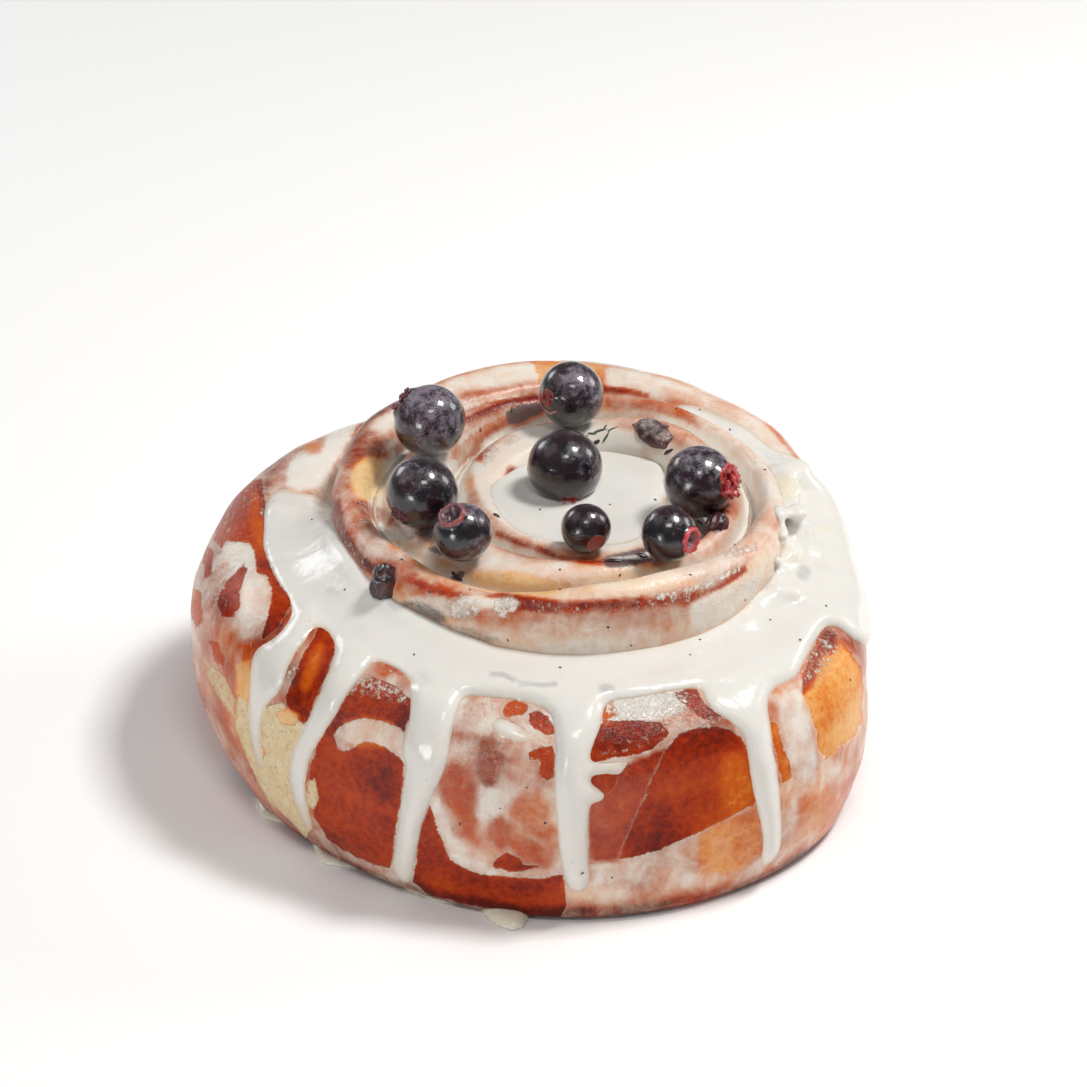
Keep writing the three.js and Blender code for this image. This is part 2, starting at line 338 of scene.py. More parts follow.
def relax(pos, quads, rounds=1, amount=0.5):
    e = np.concatenate([quads[:, [i, (i + 1) % 4]] for i in range(4)])
    for _ in range(rounds):
        acc = np.zeros_like(pos)
        n = np.bincount(e.ravel(), minlength=len(pos))[:, None]
        for k in range(3):
            acc[:, k] = np.bincount(e[:, 0], weights=pos[e[:, 1], k], minlength=len(pos)) + np.bincount(e[:, 1], weights=pos[e[:, 0], k], minlength=len(pos))
        pos = pos * (1 - amount) + amount * acc / np.maximum(n, 1)
    return pos


def largest_parts(pos, quads, least=60):
    """Drops specks of fewer vertices than `least`."""
    label = np.arange(len(pos))
    while True:
        low = label[quads].min(1)
        new = label.copy()
        for i in range(4):
            np.minimum.at(new, quads[:, i], low)
        new = new[new]
        if np.array_equal(new, label):
            break
        label = new
    size = np.bincount(label, minlength=len(pos))
    keep = size[label] >= least
    remap = np.cumsum(keep) - 1
    return pos[keep], remap[quads[keep[quads[:, 0]]]]


def make_object(name, pos, faces, material, smooth_shade=True):
    me = bpy.data.meshes.new(name)
    me.vertices.add(len(pos))
    me.vertices.foreach_set("co", (np.asarray(pos, float) * MM).ravel().astype(np.float32))
    faces = np.asarray(faces)
    n, k = faces.shape
    me.loops.add(n * k)
    me.loops.foreach_set("vertex_index", faces.ravel().astype(np.int32))
    me.polygons.add(n)
    me.polygons.foreach_set("loop_start", (np.arange(n) * k).astype(np.int32))
    me.update(calc_edges=True)
    me.validate(verbose=False)
    if smooth_shade:
        me.shade_smooth()
    ob = bpy.data.objects.new(name, me)
    bpy.context.scene.collection.objects.link(ob)
    me.materials.append(material)
    return ob


def attribute(ob, name, rgba):
    a = ob.data.attributes.new(name, "FLOAT_COLOR", "POINT")
    out = np.ones((len(ob.data.vertices), 4), np.float32)
    rgba = np.asarray(rgba, np.float32)
    out[:, : rgba.shape[1]] = rgba
    a.data.foreach_set("color", out.ravel())


# ------------------------------------------------------------------ shapes read off the photograph, in its pixels
PX_PER_MM = 6.25


def inside(px, poly):
    """Signed distance in pixels from a closed outline, positive inside."""
    poly = np.asarray(poly, float)
    lo, hi = poly.min(0) - 16, poly.max(0) + 16
    near = np.all((px > lo) & (px < hi), axis=1)
    out = np.full(len(px), -16.0)
    p = px[near]
    if not len(p):
        return out
    best = np.full(len(p), 1e9)
    odd = np.zeros(len(p), bool)
    for a, b in zip(poly, np.roll(poly, -1, 0)):
        e, w = b - a, p - a
        t = np.clip((w @ e) / (e @ e), 0, 1)
        best = np.minimum(best, ((w - t[:, None] * e) ** 2).sum(1))
        if a[1] != b[1]:
            up = (p[:, 1] >= min(a[1], b[1])) & (p[:, 1] < max(a[1], b[1]))
            odd ^= up & (p[:, 0] < a[0] + (p[:, 1] - a[1]) / (b[1] - a[1]) * (b[0] - a[0]))
    out[near] = np.where(odd, 1, -1) * np.sqrt(best)
    return out


# thick glaze on the outer turn: outline, thickness in mm, width of its rounded edge in mm
BAND = [(322, 486), (300, 491), (283, 494), (272, 500), (268, 510), (271, 522), (277, 534), (284, 548), (291, 562),
        (298, 576), (305, 587), (314, 597), (324, 606), (334, 615), (346, 628), (358, 641), (372, 650), (388, 653),
        (402, 657), (414, 664), (421, 674), (423, 686), (432, 695), (450, 698), (463, 698), (478, 694), (500, 692),
        (515, 695), (530, 701), (542, 708), (553, 716), (575, 722), (598, 718), (604, 706), (612, 698), (630, 697),
        (650, 692), (668, 688), (690, 686), (705, 684), (720, 690), (735, 698), (750, 702), (766, 698), (776, 688),
        (789, 682), (799, 675), (805, 662), (811, 649), (817, 637), (824, 627), (832, 625), (841, 630), (850, 638), (872, 650),
        (890, 640), (885, 560), (870, 515), (850, 490), (822, 472), (800, 458), (782, 450), (765, 449), (700, 470),
        (560, 500), (420, 500), (350, 490)]
THICK = [
    (BAND, 1.15, 2.6),
    ([(408, 680), (411, 700), (409, 720), (404, 738), (402, 752), (406, 765), (404, 785), (401, 805), (397, 835), (393, 858),
      (390, 866), (392, 875), (399, 884), (411, 889), (413, 880), (415, 862), (418, 840), (422, 820), (428, 806), (432, 795),
      (441, 777), (448, 757), (451, 735), (456, 715), (463, 699), (463, 680)], 1.25, 2.3),
    ([(540, 690), (548, 706), (554, 722), (556, 745), (555, 780), (556, 812), (559, 845), (562, 870), (567, 888), (576, 894),
      (586, 892), (591, 880), (588, 860), (587, 835), (590, 800), (588, 780), (587, 763), (592, 746), (600, 728), (604, 708),
      (608, 690)], 1.2, 2.3),
    ([(700, 680), (703, 696), (708, 708), (722, 718), (738, 728), (745, 738), (748, 760), (753, 790), (759, 815), (763, 835),
      (762, 852), (759, 868), (766, 869), (777, 862), (782, 850), (782, 825), (781, 800), (778, 770), (773, 745), (771, 722),
      (768, 705), (772, 690), (772, 680)], 1.1, 2.2),
    ([(336, 622), (336, 645), (331, 664), (322, 686), (313, 706), (305, 722), (297, 737), (290, 752), (287, 768), (288, 785),
      (293, 803), (300, 820), (307, 836), (315, 848), (316, 838), (310, 815), (306, 798), (307, 778), (311, 758), (321, 741),
      (335, 718), (349, 692), (362, 676), (371, 662), (374, 648), (352, 630)], 0.85, 1.8),
    ([(302, 595), (292, 612), (282, 628), (268, 641), (257, 645), (251, 655), (248, 680), (247, 705), (248, 735), (252, 755),
      (260, 775), (272, 792), (283, 806), (290, 812), (286, 802), (274, 785), (266, 768), (262, 745), (262, 720), (268, 705),
      (276, 697), (283, 688), (287, 672), (295, 655), (306, 642), (314, 626), (320, 610), (318, 598)], 0.7, 1.7),
    ([(583, 762), (605, 763), (625, 760), (641, 756), (636, 763), (622, 770), (604, 775), (583, 776)], 0.55, 0.8),
    ([(583, 784), (594, 785), (601, 792), (608, 795), (604, 802), (594, 802), (583, 800)], 0.55, 0.9),
    ([(616, 768), (622, 771), (619, 785), (609, 798), (604, 797), (613, 786)], 0.35, 0.5),
    ([(487, 719), (500, 716), (514, 721), (522, 730), (535, 737), (546, 741), (530, 745), (508, 742), (493, 735)], 0.5, 1.0),
    ([(518, 716), (528, 712), (531, 722), (524, 730)], 0.4, 0.8),
]
# the glaze's level where it lies against the wall of the raised middle, by direction from the coil's axis
LEVEL_AT = [(96, 30), (120, 31), (140, 33), (150, 34.5), (160, 36), (170, 38), (180, 40.0), (190, 41.6), (200, 42.2), (210, 42.2), (220, 41.2),
            (230, 39.9), (240, 38.3), (250, 36.9), (260, 36.3), (270, 36.2), (280, 36.3), (290, 36.4), (300, 36.8), (310, 37.6),
            (320, 38.3), (330, 39.0), (340, 40.5), (350, 42.8), (360, 43.6), (372, 43.6), (385, 43.7), (400, 43.7), (420, 44.0), (440, 43.5), (455.9, 42.5)]
# the white pool in the heart
POOL = [(470, 455), (480, 441), (500, 433), (530, 426), (575, 424), (612, 426), (640, 434), (654, 447), (664, 465), (668, 488),
        (656, 507), (646, 522), (645, 540), (625, 549), (600, 552), (575, 550), (555, 547), (520, 534), (500, 520), (485, 505),
        (474, 485), (467, 470)]
POOL_LEVEL = 42.95
# glaze on the ground: outline in the photograph, thickness in mm
PUDDLES = [
    ([(256, 786), (266, 790), (278, 800), (290, 812), (304, 822), (296, 828), (280, 826), (262, 822), (254, 808), (252, 796)], 1.1),
    ([(318, 832), (330, 844), (350, 852), (372, 862), (392, 868), (386, 873), (364, 872), (335, 871), (318, 868), (311, 858), (312, 842)], 1.1),
    ([(405, 872), (420, 884), (445, 895), (470, 902), (484, 904), (474, 909), (452, 909), (432, 906), (418, 898), (404, 890)], 1.0),
    ([(478, 890), (500, 892), (520, 896), (530, 903), (530, 918), (527, 930), (515, 934), (500, 929), (487, 921), (478, 908)], 1.7),
]
# drops and clots of glaze on the rings: photo pixel, height, radii in mm
BLOBS = [((541, 563), (1.4, 1.2, 0.9)), ((508, 440), (1.5, 0.9, 0.5)), ((489, 455), (1.0, 1.3, 0.5)), ((522, 414), (0.8, 0.6, 0.4)), ((470, 640), (1.2, 0.6, 0.4))]
# clots and strands of thicker glaze at the right: photo pixel, radii in mm
CLOTS = [((786, 474), (2.0, 2.0, 1.5)), ((790, 492), (1.7, 1.9, 1.5)), ((800, 466), (1.5, 1.3, 0.9)), ((778, 512), (1.0, 2.0, 1.1)), ((781, 535), (1.1, 1.9, 1.0)),
         ((797, 512), (1.6, 1.5, 1.1)), ((804, 528), (1.3, 1.6, 1.0)), ((818, 505), (1.4, 1.8, 0.8)), ((776, 560), (1.3, 1.6, 0.9)), ((792, 552), (1.2, 1.7, 1.0)),
         ((800, 575), (1.5, 1.6, 0.9)), ((783, 590), (1.8, 1.3, 0.8)), ((815, 548), (1.2, 1.8, 0.7)), ((766, 596), (1.5, 1.1, 0.7)), ((826, 528), (1.0, 1.3, 0.6)),
         ((790, 618), (1.7, 1.2, 0.6)), ((768, 482), (0.9, 1.5, 0.7)), ((808, 600), (1.4, 1.5, 0.6)), ((750, 618), (1.3, 0.9, 0.5)), ((319, 523), (0.7, 0.7, 0.6)),
         ((275, 505), (0.9, 1.2, 0.5)), ((349, 588), (0.8, 0.6, 0.3)), ((735, 640), (1.8, 0.9, 0.4)), ((820, 575), (1.0, 1.5, 0.5))]
# drips that the photograph doesn't show, on the far wall: direction, half width, lowest point, sway
FAR_DRIPS = [(14, 2.6, 6.0, 1.2), (33, 1.7, 19.0, 0.8), (48, 2.4, 0.2, 1.5), (66, 2.0, 13.0, 1.0), (82, 2.5, 5.0, 0.9), (119, 1.8, 15.0, 0.8),
             (138, 2.3, 0.2, 1.4), (157, 1.6, 12.0, 0.8)]


def outermost(theta):
    """Unrolled angle of the outermost turn in a direction from the axis."""
    return np.where(theta >= TAIL, theta, theta + 360)


def glaze_field():
    big = np.float32(9.0)
    G = np.full(tuple(N), big, np.float32)
    # thin coats: a thickness laid on the dough
    gx, gy, gz = np.gradient(D, H)
    near = np.argwhere((D < 3.6) & (D > -2.6) & (Z3 > -0.9))
    p = ORG + H * near
    ix = tuple(near.T)
    n = np.stack([gx[ix], gy[ix], gz[ix]], 1)
    n /= np.linalg.norm(n, axis=1)[:, None] + 1e-6
    to_eye = CAM_POS - p
    to_eye /= np.linalg.norm(to_eye, axis=1)[:, None]
    facing = (n * to_eye).sum(1)
    th = TH2[ix[0], ix[1]]
    r = R2[ix[0], ix[1]]
    r_in = turn_params(outermost(th))[0]
    turned = (th + 180) % 360 - 180  # 0 at the right, growing to the back
    tongue = th + 7 * noise3((14, 14, 9), 35)[ix] + 0.35 * (35 - p[:, 2])
    shown = np.where(th > 110, smooth(th, 160, 172), 1 - smooth(tongue, 42, 60))
    outer = (r > r_in - 0.3) & (facing > -0.45) & (shown > 0)
    shown = shown * smooth(facing, -0.42, -0.08)
    q = to_px(p)
    thick = np.full(len(p), -0.4)
    reach = np.full(len(p), -3.0)
    wob = noise3(9, 21)[ix] * 0.22 + noise3(4.5, 22)[ix] * 0.10
    # on the side that the photograph doesn't show, the glaze ends in a wavy edge
    hid = smooth(-facing, 0.0, 0.25)
    wavy = 29 + 2.5 * np.sin(th * 0.21 + 1) + 3.5 * noise3((10, 10, 30), 37)[ix]
    shown = shown * (1 - hid * (1 - smooth(p[:, 2] - wavy, 0, 4)))
    for poly, t0, edge in THICK:
        d = inside(q, poly) / PX_PER_MM
        d = np.where(outer, d, -3.0)
        t = (t0 * (1 + wob) + 0.4) * shown * (1 - (1 - np.clip(d / edge, 0, 1)) ** 3) - 0.4
        thick = smax(thick, t, 0.25)
        reach = np.maximum(reach, d)
    # lumps in the glaze at the right
    lump = inside(q, [(752, 452), (800, 452), (832, 480), (838, 560), (812, 610), (770, 610), (752, 560)]) / PX_PER_MM
    lumps = noise3((6.0, 3.2, 6.0), 23)[ix]
    thick = thick + np.where(outer & (reach > 0.8), smooth(lump, 0, 3) * np.clip(lumps, -0.3, 1) * 2.0, 0)
    # a rim of glaze just behind the crest, and the far drips that hang from it
    rim = p[:, 2] - (along(HEIGHT, outermost(th)) - 6.5 + 2.0 * np.sin(th * 0.17) + 3.5 * noise3((9, 9, 30), 38)[ix])
    rim = np.minimum(rim, np.minimum(r - r_in - 2.0, np.minimum(np.abs(th - TAIL) - 4, 2.0 * (60 - np.abs(th - 95))) * 0.6))
    t = 1.0 * smooth(-facing, 0.02, 0.25) * (1 - (1 - np.clip(rim / 2.0, 0, 1)) ** 3) - 0.4
    thick = smax(thick, t, 0.25)
    reach = np.maximum(reach, rim)
    for deg, hw, low, sway in FAR_DRIPS:
        u = ((th - deg + 180) % 360 - 180) * np.pi / 180 * np.maximum(r, 20)
        h = along(HEIGHT, outermost(th))
        u = u - sway * np.sin(p[:, 2] / 6.5 + deg)
        w = hw * (0.85 + 0.2 * np.sin(p[:, 2] / 4.7 + 2 * deg)) + 3.5 * smooth(p[:, 2], h - 9, h - 0.5)
        d = w - np.hypot(u, np.minimum(p[:, 2] - (low + w), 0))
        d = np.where((np.abs(u) < 14) & (r > r_in + 2.0) & (np.abs(th - TAIL) > 5), d, -3.0)
        d = np.minimum(d, (r - r_in - 2.0))
        full = np.maximum(smooth(-facing, 0.22, 0.62), 0.45 * smooth(-facing, -0.02, 0.16))
        t = 1.6 * full * (1 - (1 - np.clip(d / 2.3, 0, 1)) ** 3) - 0.4
        thick = smax(thick, t, 0.25)
        reach = np.maximum(reach, d)
    DD = D[ix]
    g = np.maximum(np.maximum(DD - thick, -(DD + 1.5)), -(reach + 0.9))
    G[ix] = g
    G[D >= 3.6] = np.minimum(G, D + 0.4)[D >= 3.6]
    # the pool in the channel behind the outer turn
    phi0 = outermost(TH2)
    a = np.where(TH2 < 96, TH2 + 360, TH2)
    level_wall = np.interp(a, [v[0] for v in LEVEL_AT], [v[1] for v in LEVEL_AT])
    r_in = turn_params(phi0)[0]
    ro = outer_radius(phi0)
    crest = ro - np.minimum(along(OUTER_SHOULDER, phi0), (ro - r_in) * 0.62)
    crest = np.maximum(np.minimum(crest, r_in + 9.5), r_in + 2.0)
    t = np.clip((R2 - (r_in - 1)) / (crest - r_in + 1), 0, 1)
    lev_crest = along(HEIGHT, phi0) + 0.35
    lev_crest = np.where(a < 360, lev_crest, np.minimum(lev_crest, level_wall + 0.2))
    L = lev_crest + (level_wall - lev_crest) * (1 - t) ** 1.25
    L = L + 0.35 * noise3(11, 24)[:, :, 40] + 0.12 * noise3(5, 25)[:, :, 40]
    lump2 = smooth(a, 318, 335) * (1 - smooth(a, 372, 392))
    L = L + lump2 * (1.1 * np.clip(noise3(4.0, 26)[:, :, 40], -0.3, 1))
    out = crest + 1.5 * (1 - smooth(a, 352, 372)) - 1.5 * smooth(a, 352, 372)
    # where the channel carries thick glaze, and where only a film
    here = smooth(a, 150, 172) * (1 - smooth(a, 418, 440))
    L = L - 3.5 * (1 - here) - 40 * (1 - smooth(a, 106, 124))
    out = np.minimum(out, ro - 2.0)
    pool = smax(smax(Z3 - L[:, :, None], (R2 - out)[:, :, None], 1.2), (r_in - 3.2 - R2)[:, :, None], 0.5)
    pool = np.maximum(pool, -(D + 1.5))
    G = smin(G, pool.astype(np.float32), 1.4)
    # the pool in the heart
    c = to_px(np.stack([X2.ravel(), Y2.ravel(), np.full(X2.size, POOL_LEVEL)], 1))
    d = (inside(c, POOL) / PX_PER_MM).reshape(X2.shape) + 0.5 * noise3(5, 27)[:, :, 40]
    L = POOL_LEVEL + 0.30 * noise3(8, 28)[:, :, 40] + 0.12 * noise3(3.5, 29)[:, :, 40]
    for bx, by, bz, br in ((6.16, 6.43, 47.17, 6.02), (9.23, -14.14, 47.22, 3.88), (7.28, 24.8, 50.82, 5.34)):
        gap = np.hypot(X2 - bx, Y2 - by) - math.sqrt(max(br**2 - min(bz - POOL_LEVEL, br) ** 2, 0.3))
        L = L + 0.8 * np.exp(-np.clip(gap, 0, 9) / 0.9)
    heart = smax(Z3 - L[:, :, None], -d[:, :, None], 1.5)
    heart = np.maximum(heart, -(D + 1.5))
    G = smin(G, heart.astype(np.float32), 0.8)
    # blobs of glaze on the rings
    skin = np.minimum(D, G)
    for px, radii in BLOBS + CLOTS:
        c = surface(px, skin)
        if c is not None:
            clot = px[0] > 740
            wide = np.array(radii) * ((1.3, 1.4, 1.0) if clot else (1, 1, 1))
            lumpy = 0.22 * noise3((2.6, 3.4, 2.6), 36) if clot else 0.0
            G = smin(G, np.maximum(ellipsoid(c, wide) + lumpy, -(D + 1.5)), 0.7 if clot else 0.35)
    # what has run down to the ground
    c = to_px(np.stack([X2.ravel(), Y2.ravel(), np.zeros(X2.size)], 1))
    for poly, high in PUDDLES:
        d = (inside(c, poly) / PX_PER_MM).reshape(X2.shape) + 0.25 * noise3(4, 34)[:, :, 6]
        top = high * (1 - (1 - np.clip(d / 1.9, 0, 1)) ** 2.6)
        pud = np.maximum(Z3 - top[:, :, None], -0.8 * d[:, :, None])
        G = smin(G, np.maximum(pud, -(D + 1.5)).astype(np.float32), 0.7)
    G = blur(G, 1)
    G = np.maximum(G, -Z3)
    return G


GL = glaze_field()
dough_pos, dough_quads = nets(D)
glaze_pos, glaze_quads = largest_parts(*nets(GL), 90)
glaze_pos = relax(glaze_pos, glaze_quads, 1, 0.35)
glaze_pos[:, 2] = np.maximum(glaze_pos[:, 2], 0.0)
dough_pos[:, 2] = np.maximum(dough_pos[:, 2], 0.0)
print("dough", len(dough_pos), len(dough_quads), "glaze", len(glaze_pos), len(glaze_quads))




# ------------------------------------------------------------------ what shows on the dough, painted point by point
def ell(cx, cy, rx, ry, turn=0):
    """An ellipse as an outline."""
    a = np.radians(np.arange(0, 360, 20))
    c, s = math.cos(math.radians(turn)), math.sin(math.radians(turn))
    x, y = rx * np.cos(a), ry * np.sin(a)
    return list(zip(cx + x * c - y * s, cy + x * s + y * c))


def stroke(width, *pts):
    """A broad line as an outline."""
    p = np.array(pts, float)
    t = np.gradient(p, axis=0)
    t /= np.linalg.norm(t, axis=1)[:, None]
    n = np.stack([-t[:, 1], t[:, 0]], 1) * width / 2
    return [tuple(v) for v in np.concatenate([p + n, (p - n)[::-1]])]


# bare windows in the glaze film on the outer turn: outline, bake, redness
WINDOWS = [
    ([(245, 482), (262, 478), (264, 500), (268, 518), (274, 532), (282, 546), (290, 562), (298, 578), (302, 590), (294, 602),
      (285, 614), (276, 630), (262, 640), (266, 622), (271, 602), (272, 588), (266, 575), (257, 572), (256, 556), (250, 544),
      (237, 541), (226, 540), (221, 548), (214, 540), (218, 520), (228, 500), (238, 482), (252, 462), (268, 448), (288, 436),
      (300, 440), (290, 452), (272, 466), (258, 476)], 0.72, 0.2),
    ([(322, 617), (331, 616), (336, 628), (335, 650), (330, 666), (322, 685), (315, 702), (308, 722), (300, 724), (292, 714),
      (285, 702), (289, 686), (297, 668), (304, 654), (312, 640), (317, 628)], 0.81, 0.3),
    ([(368, 677), (385, 681), (400, 689), (411, 700), (410, 715), (403, 735), (404, 765), (402, 790), (398, 815), (394, 840),
      (391, 870), (375, 864), (350, 854), (330, 842), (318, 825), (311, 805), (310, 785), (311, 765), (318, 745), (326, 730),
      (338, 712), (350, 692)], 0.79, 0.35),
    ([(601, 722), (630, 720), (660, 722), (670, 733), (652, 750), (622, 757), (585, 763), (586, 750), (594, 738)], 0.76, 0.3),
    ([(585, 776), (612, 773), (618, 773), (616, 785), (606, 794), (598, 788), (585, 785)], 0.74, 0.2),
    ([(666, 750), (680, 734), (697, 728), (716, 726), (730, 730), (742, 738), (747, 750), (752, 775), (757, 803), (740, 812),
      (722, 820), (700, 831), (680, 841), (660, 849), (640, 855), (618, 860), (630, 832), (645, 797), (656, 770)], 0.76, 0.4),
    ([(770, 722), (776, 724), (783, 748), (790, 765), (791, 778), (783, 783), (779, 770), (775, 745)], 0.45, 0.1),
    ([(825, 627), (833, 632), (843, 644), (852, 655), (860, 668), (863, 690), (862, 718), (855, 735), (840, 745), (826, 758),
      (819, 752), (817, 735), (810, 710), (803, 695), (803, 675), (808, 660), (817, 640)], 0.27, 0.0),
    ([(842, 600), (850, 604), (858, 622), (852, 618), (845, 610)], 0.6, 0.3),
    ([(490, 868), (497, 858), (507, 853), (518, 857), (524, 864), (540, 866), (520, 872)], 0.84, 0.5),
    ([(413, 882), (417, 855), (420, 832), (430, 806), (438, 830), (450, 860), (470, 872), (500, 877), (540, 880), (563, 873),
      (566, 905), (560, 918), (540, 918), (500, 912), (460, 903), (430, 896)], 0.84, 0.35),
    ([(502, 712), (507, 704), (518, 700), (530, 706), (527, 711), (517, 716), (505, 718)], 0.58, 0.3),
    ([(528, 712), (538, 710), (547, 716), (555, 728), (554, 734), (546, 734), (536, 729), (529, 722)], 0.74, 0.3),
    ([(528, 752), (540, 747), (554, 746), (554, 776), (545, 780), (538, 772), (541, 760), (529, 759)], 0.76, 0.4),
    ([(603, 700), (610, 697), (614, 705), (618, 714), (610, 718), (602, 722)], 0.5, 0.1),
    ([(672, 694), (684, 689), (697, 689), (704, 704), (722, 716), (716, 722), (700, 716), (688, 708)], 0.80, 0.4),
    ([(243, 563), (247, 571), (239, 590), (228, 602), (217, 598), (222, 588), (233, 575)], 0.7, 0.4),
    ([(206, 545), (214, 551), (212, 574), (206, 579), (203, 562)], 0.7, 0.2),
    ([(216, 600), (226, 596), (238, 590), (240, 606), (232, 618), (222, 616)], 0.8, 0.5),
    ([(190, 586), (201, 592), (203, 622), (196, 628), (189, 605)], 0.55, 0.1),
    ([(243, 645), (251, 643), (250, 665), (246, 682), (242, 668)], 0.55, 0.1),
    ([(209, 640), (218, 642), (225, 658), (224, 668), (214, 660)], 0.6, 0.2),
]
# film again over part of a window
PATCHES = [[(333, 735), (345, 722), (365, 718), (385, 722), (402, 729), (406, 764), (395, 755), (384, 747), (370, 741), (358, 744), (348, 751), (338, 750)]]
